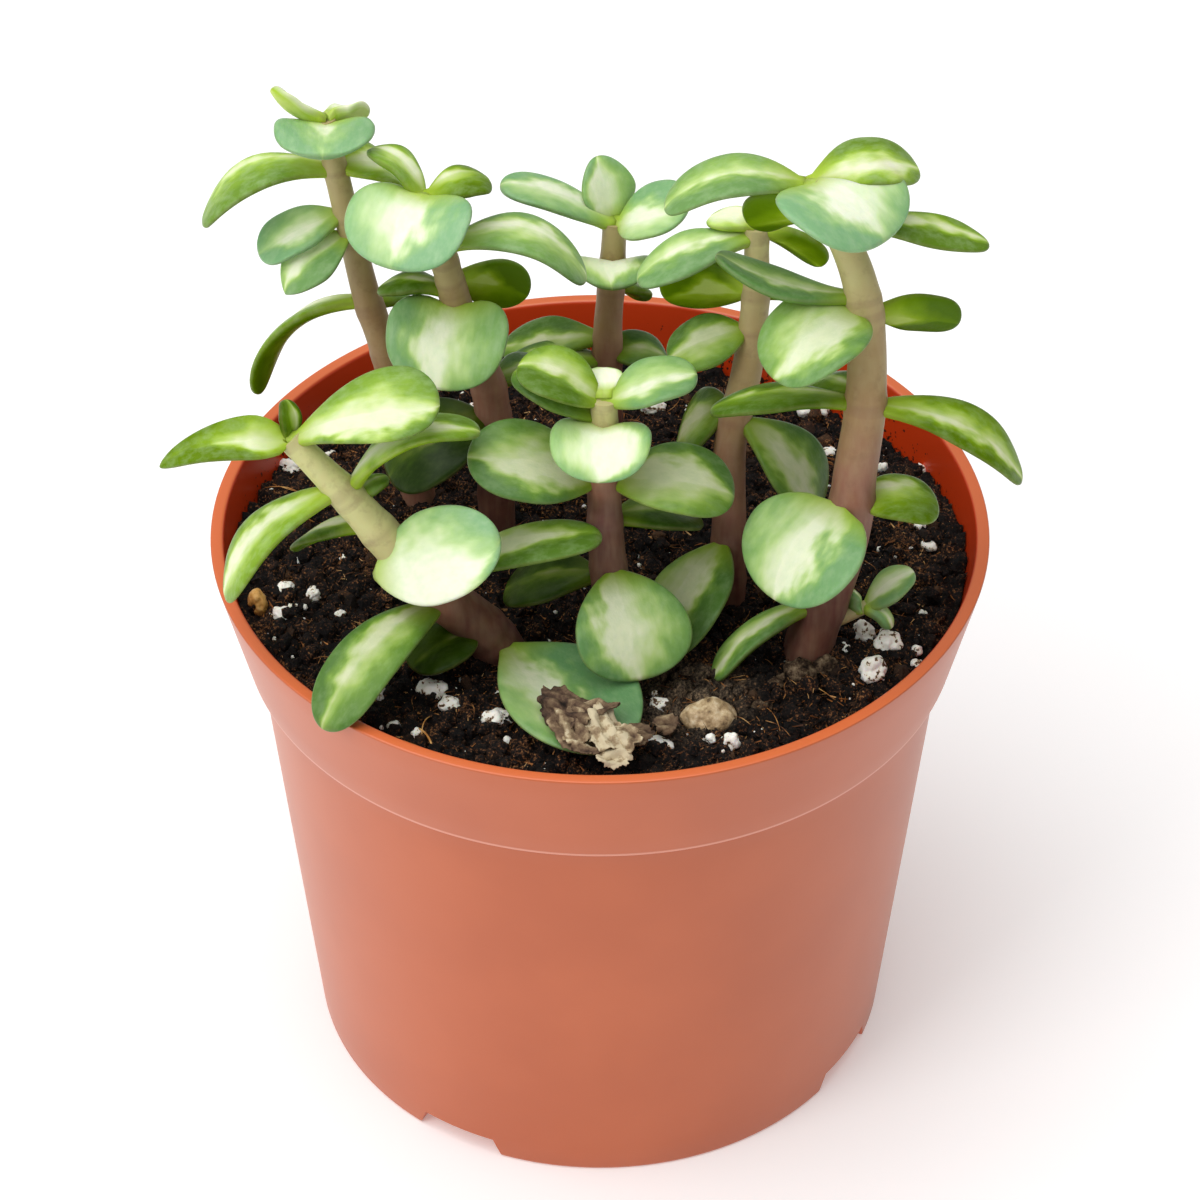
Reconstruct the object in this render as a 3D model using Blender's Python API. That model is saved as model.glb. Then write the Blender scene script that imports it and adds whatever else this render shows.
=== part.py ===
"""Potted elephant bush: a variegated succulent with seven leafy stems in a round nursery pot.

Every number below is in millimetres or degrees, and the meshes are scaled to metres as they
are made. The pot's axis is Z, its foot stands on z = 0, and the front of the plant is -Y.
"""
import math

import bmesh
import bpy
from mathutils import Vector, noise

MM = 0.001
GAP = 0.3              # clearance between two pieces that touch

# Pot: a thin moulded nursery pot, 105 mm across the rim and 84 mm tall
POT_SIDES = 48
POT_HEIGHT = 84.0
RIM_RADIUS = 52.5
COLLAR_FOOT = 67.9     # height of the collar's lower edge
COLLAR_RADIUS = 48.8
BODY_TOP_RADIUS = 47.2
FOOT_RADIUS = 41.1
WALL = 1.3
RIM_WIDTH = 1.8
RIM_EDGE = 0.3         # width of the rounding along the rim
EDGE = 0.7             # rounding of the collar's lower edge and the foot
FLOOR_HEIGHT = 5.5
FLOOR_UNDERSIDE = 4.0
SKIRT_WIDTH = 2.8      # ring that the pot stands on, with its rounding
INNER_WALL = (         # height and radius of each corner of the inner wall
    (FLOOR_HEIGHT, FOOT_RADIUS - WALL),
    (COLLAR_FOOT - 1.0, BODY_TOP_RADIUS - WALL),
    (COLLAR_FOOT + 0.6, COLLAR_RADIUS - WALL),
    (POT_HEIGHT - EDGE, RIM_RADIUS - RIM_WIDTH),
)
NOTCH_ANGLES = (-29, 59, 150, 240)
NOTCH_WIDTH = 11.0
NOTCH_SLOPE = 1.6
NOTCH_HEIGHT = 3.3
DRAIN_COUNT = 6
DRAIN_RADIUS = 3.5
DRAIN_CIRCLE = 24.0
DRAIN_SIDES = 12

# Soil: nearly full at the front, lower behind the stems
SOIL_FRONT = 79.0
SOIL_DROP = 4.4
SOIL_SLOPE_LENGTH = 40.0
SOIL_BUMP = 0.9
SOIL_BUMP_SPACING = 7.0
SOIL_RINGS = (0.86, 0.70, 0.54, 0.38, 0.20)
GRAIN_SUNK = 0.12      # share of a grain's size by which its centre clears the soil
STONE_SUNK = 0.2
STONE_ROUGHNESS = 0.16
FINE_STONE = 5.0       # a stone longer than this has more faces

STEM_SIDES = 8
STEM_STEPS = 3         # rings between two points of a stem's path

LEAF_THICKNESS = 1.9
LEAF_EDGE = 0.7
LEAF_STATIONS = (0.16, 0.38, 0.62, 0.85, 0.97)
SMALL_LEAF = 9.0       # a leaf shorter than this has fewer stations
SMALL_STATIONS = (0.2, 0.5, 0.8, 0.96)
LEAF_ACROSS = (-1.0, -0.45, 0.45, 1.0)
ROOT_HALF_WIDTH = 0.9
ROOT_THICKNESS = 1.4

# White perlite grains that stand out of the soil: x, y, size
PERLITE = [
    (-43, 18.5, 3.6), (-40, -9.5, 2.6), (-38, -11, 2.4), (-42, -13, 2.4), (-27, -24, 2.0),
    (-28.5, -30.5, 2.9), (-22, -29.5, 3.4), (-20, -32.5, 2.8), (-13.5, -35.5, 3.2), (7.5, 36.5, 3.0),
    (28.5, 35, 2.6), (31.5, 34.5, 2.4), (32.5, 25, 2.4), (39.5, 20, 2.4), (43.5, 18.5, 2.2),
    (43.5, 3.5, 2.4), (45.5, 0, 2.8), (35, -17.5, 3.6), (38, -20.5, 4.0), (35.5, -27.5, 4.0),
    (41.5, -22, 2.0), (8, -40, 3.0), (17, -41, 3.0), (-6, 40, 2.8), (-30, 30, 2.6),
]

# Two small stones: centre x, y, then length, width, height and the angle of the length
TAN_STONE = (14, -35.5, 6.6, 4.6, 4.2, 10)
AMBER_STONE = (-45.6, -12.2, 3.4, 2.6, 4, 105)

# Crumpled dry leaf that lies on the tip of the lowest green leaf and on the soil
HUSK_CENTRE = (-0.5, -41.2, 84.15)
HUSK_HALF_SIZE = 6.2
HUSK_LOBES = 3
HUSK_LOBE_DEPTH = 0.18
HUSK_THICKNESS = 0.8
HUSK_SLOPE = 0.08
HUSK_CRUMPLE = 1.4
HUSK_CRUMPLE_SPACING = 2.2
HUSK_FOLD = 0.5
HUSK_GRID = 6

# Stems. A path runs from the buried end to the tip as x, y, z, radius. A leaf is
#   height on the stem, turn (0 to the front, 90 to the right), lift of its chord,
#   length, width, arch of its midrib, roll about its chord, rise of its edges
# and may end with where it starts, from the stem's centre line, and how broad its root is.
STEMS = {
    "leafy_stem_left_back": {
        "path": [
            (-24, 12, 62, 2.3), (-25, 12, 78, 2.4), (-28.5, 13, 101, 2.1), (-31, 14, 110.5, 1.9),
            (-33, 14.5, 122, 1.7), (-34.5, 15, 131, 1.6), (-35.5, 15.5, 138, 1.3),
        ],
        "leaves": [
            (137, 0, 5, 7.5, 13, 0.5, 0, 0.8),
            (138, -100, 35, 7, 4, -0.6, 35, 0.8),
            (138, 125, -18, 5.5, 4.5, 0.4, -30, 0.8),
            (130.5, -85, -25, 18, 8, 3.8, 0, 0),
            (130.5, 115, -35, 9, 9, 1.6, 5, 0.6),
            (123.5, -80, -25, 11.5, 8, 0.8, -15, 0.4),
            (120.5, -55, -30, 10.5, 8, 1.6, -15, 0.5),
            (110, -100, -50, 22.5, 7, 3.8, 30, 0.3),
            (109, 155, -30, 7.5, 6, 0.6, 0, 0.4),
        ],
    },
    "leafy_stem_left_middle": {
        "path": [
            (-13.5, 4, 62, 2.4), (-14, 4, 78, 2.5), (-14.5, 4.5, 101, 2.4), (-17.5, 5, 110.5, 2.1),
            (-19.5, 5.5, 119.5, 1.9), (-21, 6, 126.5, 1.7), (-22.5, 6.5, 132, 1.5),
        ],
        "leaves": [
            (132, -125, 25, 8, 7, 1.2, 15, 0.6),
            (132, 110, 0, 7.5, 7, 1.2, 0, 0),
            (132, -20, -25, 10.5, 16.5, 1.2, 0, 0.8),
            (125, 85, -15, 18, 9, 4.4, 0, 0.2),
            (122.5, -130, -25, 10.5, 7.5, 0.8, 0, 0.4),
            (119.5, 115, -30, 11, 7.5, 0.8, -85, 0.3),
            (116, -10, -35, 11, 16, 1.4, 0, 0.8),
            (118, -100, -10, 8.5, 6, 1.2, 10, 0),
            (98.5, -70, -30, 14.5, 13, 2, -15, 0),
            (103, 130, -15, 10, 7, 1, 0, 0.4),
        ],
    },
    "leafy_stem_left_front": {
        "path": [
            (-10.5, -20.5, 64, 3), (-12, -21, 76, 3.2), (-15, -22, 83, 3.2), (-21, -23.5, 91, 3),
            (-26.5, -24, 99, 2.6), (-32.5, -23, 107, 2.1), (-39, -21, 114, 1.6),
        ],
        "leaves": [
            (113.5, -85, -10, 16, 5.8, 2, -20, 0.4),
            (114, 85, 20, 19, 12.5, 2.2, 12, 0.6),
            (114, -160, 65, 3.5, 3.5, 0.4, 0, 0.3),
            (107, -75, -45, 20, 8.5, 3, 0, 0.2),
            (107.5, 95, 25, 18, 9.5, 3.4, -15, 0.5),
            (106, 125, 10, 4, 3, 0.3, 0, 0.3),
            (101.5, -115, -35, 12.5, 6.5, 1, 10, 0.2),
            (97.5, 75, 30, 20.5, 13.5, 1, 48, 0.5, (-3.5, -2, -2), 0.55),
            (94, 85, 20, 22.5, 8, 1.6, 0, 0.2),
            (89.5, -37, -15, 22.5, 7.4, 4, -5, 0.2),
            (83.5, -50, -5, 9, 8.5, 1, 0, 0.2),
            (81.4, 37, 0, 24.5, 17.5, 1.2, 3, 1, (2, -2.2, 0), 0.3),
        ],
    },
    "leafy_stem_centre_back": {
        "path": [
            (1, 18, 60, 2.2), (1, 18, 76, 2.3), (1, 19, 99.5, 2), (1.5, 20.5, 108, 1.8),
            (2, 22, 117.5, 1.6),
        ],
        "leaves": [
            (117.5, -85, 25, 15.5, 7.5, 1.2, -5, 0.3),
            (117.5, 65, 30, 11, 9.5, 0.8, 25, 0.5),
            (117.5, -150, 65, 8.5, 8, 0.6, 0, 0.6),
            (111.5, 0, 15, 8, 10.5, 1.2, 0, 0.6),
            (107.5, 145, -45, 7, 6.5, 0.6, 0, 0),
            (97, -75, 0, 12.5, 8.5, 1.2, 0, 0.4),
            (100, -110, -20, 14.5, 7.5, 0.8, -20, 0.2),
            (98, 100, -20, 7, 7.5, 0.8, 10, 0.2),
        ],
    },
    "leafy_stem_centre_front": {
        "path": [
            (2.5, -20, 64, 2.6), (2.5, -20, 78, 2.6), (1, -20, 93.5, 2.4), (0.5, -19, 105.5, 2.1),
            (0.5, -18, 118, 1.6),
        ],
        "leaves": [
            (117.5, -100, 22, 10.5, 8.5, 1.4, -15, 0.6),
            (117.5, 95, 18, 11, 8, 1, 10, 0.4),
            (118, 180, 10, 4, 5, 0.4, 0, 0.8),
            (115, -110, 20, 11.5, 8, 1.8, -10, 0.2),
            (114, -5, -15, 8, 13.5, 1.2, 0, 0.8),
            (105.5, -85, 18, 16.5, 12.5, 1.6, -20, 0.3),
            (105.5, 85, -5, 15, 11.5, 2.4, 15, 0.3),
            (99.5, 115, -20, 12.5, 8, 0.8, 0, 0.2),
            (92.5, 18, -34, 14.5, 15.5, 1.6, 0, 0.8),
            (90.5, -105, -25, 13.5, 9.5, 1.4, -10, 0.2),
        ],
    },
    "leafy_stem_right_middle": {
        "path": [
            (17, -11, 64, 2.3), (17, -11, 78, 2.4), (17, -11, 89.5, 2.3), (17, -8, 103.5, 2.1),
            (19, -4, 112, 2), (20, -1, 121, 1.8), (20, 1, 131, 1.5),
        ],
        "leaves": [
            (131, -115, 5, 4.5, 5, -0.6, 20, 0.5),
            (130.5, 95, -40, 10.5, 6.5, 1.2, 0, 0.2),
            (129.5, -80, -20, 15, 9.5, 1.4, -5, 0.3),
            (123, -105, -15, 11.5, 8, 1, 80, 0.3),
            (121.5, 135, -35, 8.5, 7, 0.8, 0, 0.3),
            (117, -80, -20, 10, 8.5, 0.8, -15, 0.3),
            (107, -125, -55, 12.5, 11, 1.2, -30, 0.3),
            (106, 70, -50, 15.5, 11, 2.2, 10, 0.5),
            (89.5, -30, -25, 18, 11.5, 1.2, 10, 0.5),
        ],
    },
    "leafy_stem_right_front": {
        "path": [
            (27, -22, 63, 3), (27, -22, 78, 3.2), (31.5, -21, 97.5, 3), (32.5, -19.5, 107.5, 2.8),
            (33.5, -17.5, 117.5, 2.6), (33, -15, 129.5, 2.3), (30.5, -12.5, 137.5, 2),
            (25.5, -10, 145, 1.6),
        ],
        "leaves": [
            (145, -85, -10, 16.5, 8.5, 3.2, -5, 0.2),
            (145, 110, -5, 13.5, 9, 2.2, 10, 0.2),
            (145, 45, -15, 11.5, 17.5, 1.4, 0, 0.8),
            (143.5, -65, -5, 7, 9, 1, 60, 0),
            (140.5, 95, -15, 19, 5.5, 0.8, 10, 0.2),
            (131.5, -95, 20, 19.5, 6.5, -1.2, 0, 0.2),
            (130, 110, -20, 12, 6.5, 0.8, -80, 0.2),
            (130.5, -55, -20, 13, 13.5, 1.6, -5, 0.8),
            (116.5, 85, -30, 21, 7.5, 3.8, 10, 0.2),
            (117, -90, -5, 17.5, 7, 1.4, 10, 0.2),
            (117.5, -140, -20, 7.5, 6, 0.6, 0, 0.2),
            (103, 95, -10, 9, 9, 1, 5, 0.2),
            (103.5, -45, -40, 15, 16, 1.6, 5, 0.6),
            (87.5, -60, -25, 13.5, 7, 1.5, 0, 0.2),
        ],
        "side_shoot": {
            "path": [(28, -21.8, 83.5, 1.2), (31.9, -21.4, 85.2, 1), (34.8, -20.5, 86, 0.8)],
            "leaves": [
                (86, 105, 37, 7.2, 5, 0.6, 0, 0.2),
                (86, 58, -38, 3.6, 2.6, 0.6, 0, 0.2),
                (85.8, -90, 75, 3, 2.2, 0.2, 0, 0.2),
            ],
        },
    },
}


def clear_scene():
    for item in list(bpy.data.objects):
        bpy.data.objects.remove(item, do_unlink=True)


def hex_to_linear(colour):
    """Linear red, green, blue and alpha of an sRGB colour written as six hex digits."""
    channels = []
    for i in (0, 2, 4):
        value = int(colour[i:i + 2], 16) / 255
        channels.append(value / 12.92 if value <= 0.04045 else ((value + 0.055) / 1.055) ** 2.4)
    return (*channels, 1.0)


def make_material(name, colour, roughness):
    material = bpy.data.materials.new(name)
    material.use_nodes = True
    shader = material.node_tree.nodes["Principled BSDF"]
    shader.inputs["Base Color"].default_value = hex_to_linear(colour)
    shader.inputs["Roughness"].default_value = roughness
    shader.inputs["Metallic"].default_value = 0.0
    return material


def make_object(name, vertices, faces, material=None):
    mesh = bpy.data.meshes.new(name)
    mesh.from_pydata([Vector(v) * MM for v in vertices], [], faces)
    mesh.shade_smooth()
    mesh.set_sharp_from_angle(angle=math.radians(40))
    if material:
        mesh.materials.append(material)
    obj = bpy.data.objects.new(name, mesh)
    bpy.context.scene.collection.objects.link(obj)
    return obj


def combine(body, others, operation):
    """Join others to the body, or cut them from it, with one Boolean, and remove them."""
    group = bpy.data.collections.new(f"{body.name}_{operation.lower()}")
    bpy.context.scene.collection.children.link(group)
    for other in others:
        bpy.context.scene.collection.objects.unlink(other)
        group.objects.link(other)
        other.display_type = "WIRE"
        other.hide_render = True
    modifier = body.modifiers.new(operation.title(), "BOOLEAN")
    modifier.operation = operation
    modifier.operand_type = "COLLECTION"
    modifier.collection = group
    modifier.solver = "MANIFOLD" if operation == "UNION" else "EXACT"
    graph = bpy.context.evaluated_depsgraph_get()
    result = bpy.data.meshes.new_from_object(body.evaluated_get(graph))
    body.modifiers.remove(modifier)
    body.data = result
    for other in others:
        bpy.data.objects.remove(other, do_unlink=True)
    bpy.data.collections.remove(group)


def loft(rings):
    """Vertices and faces of a closed body through rings with equal numbers of points."""
    count = len(rings[0])
    vertices = [point for ring in rings for point in ring]
    faces = []
    for j in range(len(rings) - 1):
        for i in range(count):
            a = j * count + i
            b = j * count + (i + 1) % count
            faces.append((a, b, b + count, a + count))
    last = (len(rings) - 1) * count
    faces.append(tuple(reversed(range(count))))
    faces.append(tuple(range(last, last + count)))
    return vertices, faces


def lathe(profile, sides):
    """Vertices and faces of a turned body; the profile's ends lie on the axis."""
    vertices = [(0, 0, profile[0][1])]
    for radius, height in profile[1:-1]:
        for i in range(sides):
            angle = math.tau * i / sides
            vertices.append((radius * math.cos(angle), radius * math.sin(angle), height))
    vertices.append((0, 0, profile[-1][1]))
    faces = []
    for i in range(sides):
        faces.append((0, 1 + i, 1 + (i + 1) % sides))
    for j in range(len(profile) - 3):
        for i in range(sides):
            a = 1 + j * sides + i
            b = 1 + j * sides + (i + 1) % sides
            faces.append((a, a + sides, b + sides, b))
    end = len(vertices) - 1
    start = end - sides
    for i in range(sides):
        faces.append((start + i, end, start + (i + 1) % sides))
    return vertices, faces


def wall_inside(height):
    """Radius of the pot's inner wall at a height, on its corners."""
    for (low, r_low), (high, r_high) in zip(INNER_WALL, INNER_WALL[1:]):
        if height <= high:
            share = (height - low) / (high - low)
            return r_low + (r_high - r_low) * share
    return INNER_WALL[-1][1]


def direction(turn):
    """Level unit vector for a turn in degrees, 0 to the front and 90 to the right."""
    angle = math.radians(turn)
    return Vector((math.sin(angle), -math.cos(angle), 0))


def notch_cutter(turn):
    """Wedge that opens the skirt between two feet, wider at the ground."""
    outward = direction(turn)
    sideways = Vector((-outward.y, outward.x, 0))
    rings = []
    for distance in (FOOT_RADIUS - 9, FOOT_RADIUS + 5):
        ring = []
        for side, height in ((-1, -1), (1, -1), (1, NOTCH_HEIGHT), (-1, NOTCH_HEIGHT)):
            half = NOTCH_WIDTH / 2 + (NOTCH_SLOPE if height < 0 else 0)
            ring.append(outward * distance + sideways * side * half + Vector((0, 0, height)))
        rings.append(ring)
    return make_object("notch", *loft(rings))


def drain_cutter(index):
    angle = math.tau * (index + 0.5) / DRAIN_COUNT
    centre = Vector((math.cos(angle), math.sin(angle), 0)) * DRAIN_CIRCLE
    rings = []
    for height in (FLOOR_UNDERSIDE - 2, FLOOR_HEIGHT + 2):
        ring = []
        for i in range(DRAIN_SIDES):
            around = math.tau * i / DRAIN_SIDES
            offset = Vector((math.cos(around) * DRAIN_RADIUS, math.sin(around) * DRAIN_RADIUS, height))
            ring.append(centre + offset)
        rings.append(ring)
    return make_object("drain", *loft(rings))


def make_pot():
    material = make_material("terracotta_polypropylene", "C8755A", 0.45)
    profile = [
        (0, FLOOR_UNDERSIDE),
        (FOOT_RADIUS - SKIRT_WIDTH, FLOOR_UNDERSIDE),
        (FOOT_RADIUS - SKIRT_WIDTH, 0),
        (FOOT_RADIUS - EDGE, 0),
        (FOOT_RADIUS, EDGE),
        (BODY_TOP_RADIUS, COLLAR_FOOT),
        (COLLAR_RADIUS - EDGE, COLLAR_FOOT),
        (COLLAR_RADIUS, COLLAR_FOOT + EDGE),
        (RIM_RADIUS, POT_HEIGHT - EDGE),
        (RIM_RADIUS - RIM_EDGE, POT_HEIGHT),
        (RIM_RADIUS - RIM_WIDTH + RIM_EDGE, POT_HEIGHT),
    ]
    profile += [(radius, height) for height, radius in reversed(INNER_WALL)]
    profile.append((0, FLOOR_HEIGHT))
    pot = make_object("nursery_pot", *outward(*lathe(profile, POT_SIDES)), material)
    cutters = [notch_cutter(turn) for turn in NOTCH_ANGLES]
    cutters += [drain_cutter(i) for i in range(DRAIN_COUNT)]
    combine(pot, cutters, "DIFFERENCE")
    return pot


def smooth_step(value):
    value = min(max(value, 0), 1)
    return value * value * (3 - 2 * value)


def soil_height(x, y):
    """Height of the soil: level in front, lower behind, with small lumps."""
    level = SOIL_FRONT - SOIL_DROP * smooth_step(y / SOIL_SLOPE_LENGTH)
    return level + SOIL_BUMP * noise.noise(Vector((x, y, 0)) / SOIL_BUMP_SPACING)


def soil_edge(angle):
    """Point where the soil's surface meets the pot's wall, less the clearance."""
    radius = wall_inside(SOIL_FRONT) - GAP
    for _ in range(3):
        height = soil_height(radius * math.cos(angle), radius * math.sin(angle))
        radius = wall_inside(height) - GAP
    return Vector((radius * math.cos(angle), radius * math.sin(angle), height))


def pebble(centre, length, width, height, turn, grow=0.0):
    """Rough rounded stone or grain: a small ball with its points pushed in and out."""
    ball = bmesh.new()
    bmesh.ops.create_icosphere(ball, subdivisions=2 if length > FINE_STONE else 1, radius=1)
    angle = math.radians(turn)
    vertices = []
    for vertex in ball.verts:
        rough = 1 + STONE_ROUGHNESS * noise.noise(vertex.co * 1.7 + Vector(centre))
        x = vertex.co.x * (length / 2 * rough + grow)
        y = vertex.co.y * (width / 2 * rough + grow)
        z = vertex.co.z * (height / 2 * rough + grow)
        across = x * math.cos(angle) - y * math.sin(angle)
        along = x * math.sin(angle) + y * math.cos(angle)
        vertices.append(Vector(centre) + Vector((across, along, z)))
    faces = [tuple(v.index for v in face.verts) for face in ball.faces]
    ball.free()
    return vertices, faces


def stone_centre(stone):
    x, y, height = stone[0], stone[1], stone[4]
    return (x, y, soil_height(x, y) + height * STONE_SUNK)


def make_stone(name, stone, colour, roughness):
    vertices, faces = pebble(stone_centre(stone), *stone[2:])
    return make_object(name, vertices, faces, make_material(name + "_mineral", colour, roughness))


def make_soil():
    material = make_material("peat_potting_mix", "241A14", 0.95)
    levels = (FLOOR_HEIGHT + GAP, INNER_WALL[1][0], INNER_WALL[2][0])
    angles = [math.tau * i / POT_SIDES for i in range(POT_SIDES)]
    rings = []
    for height in levels:
        radius = wall_inside(height) - GAP
        rings.append([Vector((radius * math.cos(a), radius * math.sin(a), height)) for a in angles])
    edge = [soil_edge(a) for a in angles]
    rings.append(edge)
    for share in SOIL_RINGS:
        ring = []
        for point in edge:
            x, y = point.x * share, point.y * share
            ring.append(Vector((x, y, soil_height(x, y))))
        rings.append(ring)
    soil = make_object("potting_soil", *loft(rings), material)

    grains = []
    for x, y, size in PERLITE:
        centre = (x, y, soil_height(x, y) + size * GRAIN_SUNK)
        turn = x * 31
        grains.append(make_object("grain", *pebble(centre, size, size * 0.85, size * 0.8, turn)))
    combine(soil, grains, "UNION")

    cutters = []
    for stem in STEMS.values():
        rows = smooth_path(stem["path"])
        above = next(i for i, row in enumerate(rows) if row[2] > SOIL_FRONT + 2)
        x, y, z, radius = rows[0]
        rows = [(x, y, z - GAP, radius), *rows[1:above + 1]]
        cutters.append(make_object("stem_hole", *tube(rows, GAP)))
    for stone in (TAN_STONE, AMBER_STONE):
        cutters.append(make_object("stone_seat", *pebble(stone_centre(stone), *stone[2:], grow=GAP)))
    combine(soil, cutters, "DIFFERENCE")
    return soil


def smooth_path(points, steps=STEM_STEPS):
    """Rows of x, y, z, radius along a smooth curve through a stem's points."""
    first = [2 * a - b for a, b in zip(points[0], points[1])]
    last = [2 * a - b for a, b in zip(points[-1], points[-2])]
    spread = [first, *points, last]
    rows = []
    for i in range(len(points) - 1):
        for k in range(steps):
            t = k / steps
            row = []
            for a, b, c, d in zip(*spread[i:i + 4]):
                bend = 2 * a - 5 * b + 4 * c - d
                twist = 3 * b - 3 * c + d - a
                row.append(0.5 * (2 * b + (c - a) * t + bend * t * t + twist * t ** 3))
            rows.append(tuple(row))
    rows.append(tuple(points[-1]))
    return rows


def at_height(rows, height):
    """The row of a path at a height."""
    for low, high in zip(rows, rows[1:]):
        if low[2] <= height <= high[2]:
            share = (height - low[2]) / (high[2] - low[2])
            return tuple(a + (b - a) * share for a, b in zip(low, high))
    return rows[-1] if height > rows[-1][2] else rows[0]


def tube(rows, grow=0.0):
    """Closed round bar along rows of x, y, z, radius."""
    centres = [Vector(row[:3]) for row in rows]
    rings = []
    for i, row in enumerate(rows):
        along = (centres[min(i + 1, len(rows) - 1)] - centres[max(i - 1, 0)]).normalized()
        right = along.cross(Vector((0, 1, 0))).normalized()
        back = along.cross(right)
        ring = []
        for k in range(STEM_SIDES):
            angle = math.tau * k / STEM_SIDES
            ring.append(centres[i] + (right * math.cos(angle) + back * math.sin(angle)) * (row[3] + grow))
        rings.append(ring)
    return loft(rings)


def half_width_share(t, ratio, root):
    """Share of a leaf's half width at t along it; a broad leaf is rounder at its root."""
    ratio = min(ratio, 1.2)
    widest = 0.64 - 0.14 * ratio
    if t < widest:
        return root + (1 - root) * math.sin(math.pi / 2 * t / widest) ** (1.5 - 0.75 * ratio)
    return math.sqrt(max(1 - ((t - widest) / (1 - widest)) ** 2.2, 0))


def thickness_share(t):
    """Share of a leaf's thickness at t along it: full to the middle, thin at the tip."""
    return 1.0 if t < 0.5 else 1.0 - 1.1 * (t - 0.5) ** 1.4


def leaf_section(centre, side, normal, half, thickness, rise):
    """Lens-shaped ring across a leaf: its upper face, then its lower face."""
    upper = []
    lower = []
    for q in LEAF_ACROSS:
        lens = LEAF_EDGE / 2 + (thickness / 2 - LEAF_EDGE / 2) * math.sqrt(1 - q * q)
        middle = centre + side * q * half + normal * rise * q * q
        upper.append(middle + normal * lens)
        lower.append(middle - normal * lens)
    return upper + lower[::-1]


def leaf_body(row, leaf):
    """Closed blade that grows out of the stem's centre line and ends in a round tip."""
    height, turn, lift, length, width, arch, roll, rise, *special = leaf
    axis_point = Vector(row[:3])
    start = axis_point + (Vector(special[0]) if special else direction(turn) * 0.8 * row[3])
    root = special[1] if special else 2 * ROOT_HALF_WIDTH / width
    chord = direction(turn) * math.cos(math.radians(lift)) + Vector((0, 0, math.sin(math.radians(lift))))
    level = chord.cross(Vector((0, 0, 1))).normalized()
    upward = level.cross(chord)
    roll = math.radians(roll)
    normal = upward * math.cos(roll) + level * math.sin(roll)
    side = level * math.cos(roll) - upward * math.sin(roll)

    stalk = (start - axis_point).normalized()
    stalk_side = stalk.cross(normal).normalized()
    if stalk_side.dot(side) < 0:
        stalk_side.negate()
    root_normal = stalk_side.cross(stalk)
    rings = [leaf_section(axis_point, stalk_side, root_normal, ROOT_HALF_WIDTH, ROOT_THICKNESS, 0)]
    for t in LEAF_STATIONS if length >= SMALL_LEAF else SMALL_STATIONS:
        centre = start + chord * length * t + normal * 4 * arch * t * (1 - t)
        along = (chord * length + normal * 4 * arch * (1 - 2 * t)).normalized()
        share = half_width_share(t, width / length, root)
        half = width / 2 * share
        thickness = LEAF_THICKNESS * thickness_share(t)
        rings.append(leaf_section(centre, side, side.cross(along), half, thickness, rise * share))
    return loft(rings)


def outward(vertices, faces):
    """The same closed body with its faces turned to point out."""
    points = [Vector(v) for v in vertices]
    volume = 0.0
    for face in faces:
        for i in range(1, len(face) - 1):
            volume += points[face[0]].dot(points[face[i]].cross(points[face[i + 1]]))
    return vertices, faces if volume > 0 else [tuple(reversed(face)) for face in faces]


def make_stem(name, stem, material):
    """One leafy stem: the stem, its leaves and any side shoot, joined in one body."""
    rows = smooth_path(stem["path"])
    body = make_object(name, *outward(*tube(rows)), material)
    pieces = [leaf_body(at_height(rows, leaf[0]), leaf) for leaf in stem["leaves"]]
    shoot = stem.get("side_shoot")
    if shoot:
        shoot_rows = smooth_path(shoot["path"])
        pieces.append(tube(shoot_rows))
        pieces += [leaf_body(at_height(shoot_rows, leaf[0]), leaf) for leaf in shoot["leaves"]]
    parts = [make_object("leaf", *outward(*piece)) for piece in pieces]
    combine(body, parts, "UNION")
    return body


def make_husk():
    """Crumpled dry leaf: a thin uneven sheet, split alike on its two faces."""
    count = HUSK_GRID
    centre = Vector(HUSK_CENTRE)
    upper = []
    lower = []
    for j in range(count):
        for i in range(count):
            a = 2 * i / (count - 1) - 1
            b = 2 * j / (count - 1) - 1
            lobes = 1 - HUSK_LOBE_DEPTH * (1 - math.cos(HUSK_LOBES * math.atan2(b, a)))
            reach = HUSK_HALF_SIZE * lobes / max(1.0, math.hypot(a, b))
            x = a * reach
            y = b * reach
            z = HUSK_SLOPE * y + HUSK_FOLD * ((i + j) % 2)
            z += HUSK_CRUMPLE * noise.noise(Vector((x, y, 0)) / HUSK_CRUMPLE_SPACING)
            point = centre + Vector((x, y, z))
            upper.append(point + Vector((0, 0, HUSK_THICKNESS / 2)))
            lower.append(point - Vector((0, 0, HUSK_THICKNESS / 2)))
    vertices = upper + lower
    size = count * count
    faces = []
    for j in range(count - 1):
        for i in range(count - 1):
            a = j * count + i
            b, c, d = a + 1, a + count + 1, a + count
            faces += [(a, b, c), (a, c, d)]
            faces += [(a + size, c + size, b + size), (a + size, d + size, c + size)]
    border = [i for i in range(count)]
    border += [j * count + count - 1 for j in range(1, count)]
    border += [(count - 1) * count + i for i in range(count - 2, -1, -1)]
    border += [j * count for j in range(count - 2, 0, -1)]
    for here, after in zip(border, border[1:] + border[:1]):
        faces.append((here, here + size, after + size, after))
    return make_object("dried_leaf_husk", vertices, faces, make_material("dry_leaf", "8A7460", 0.9))


def main():
    clear_scene()
    make_pot()
    make_soil()
    leaf_material = make_material("variegated_succulent_leaf", "8FC49A", 0.4)
    for name, stem in STEMS.items():
        make_stem(name, stem, leaf_material)
    make_husk()
    make_stone("tan_stone", TAN_STONE, "A09673", 0.85)
    make_stone("amber_stone", AMBER_STONE, "CD9B50", 0.6)


main()
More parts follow.
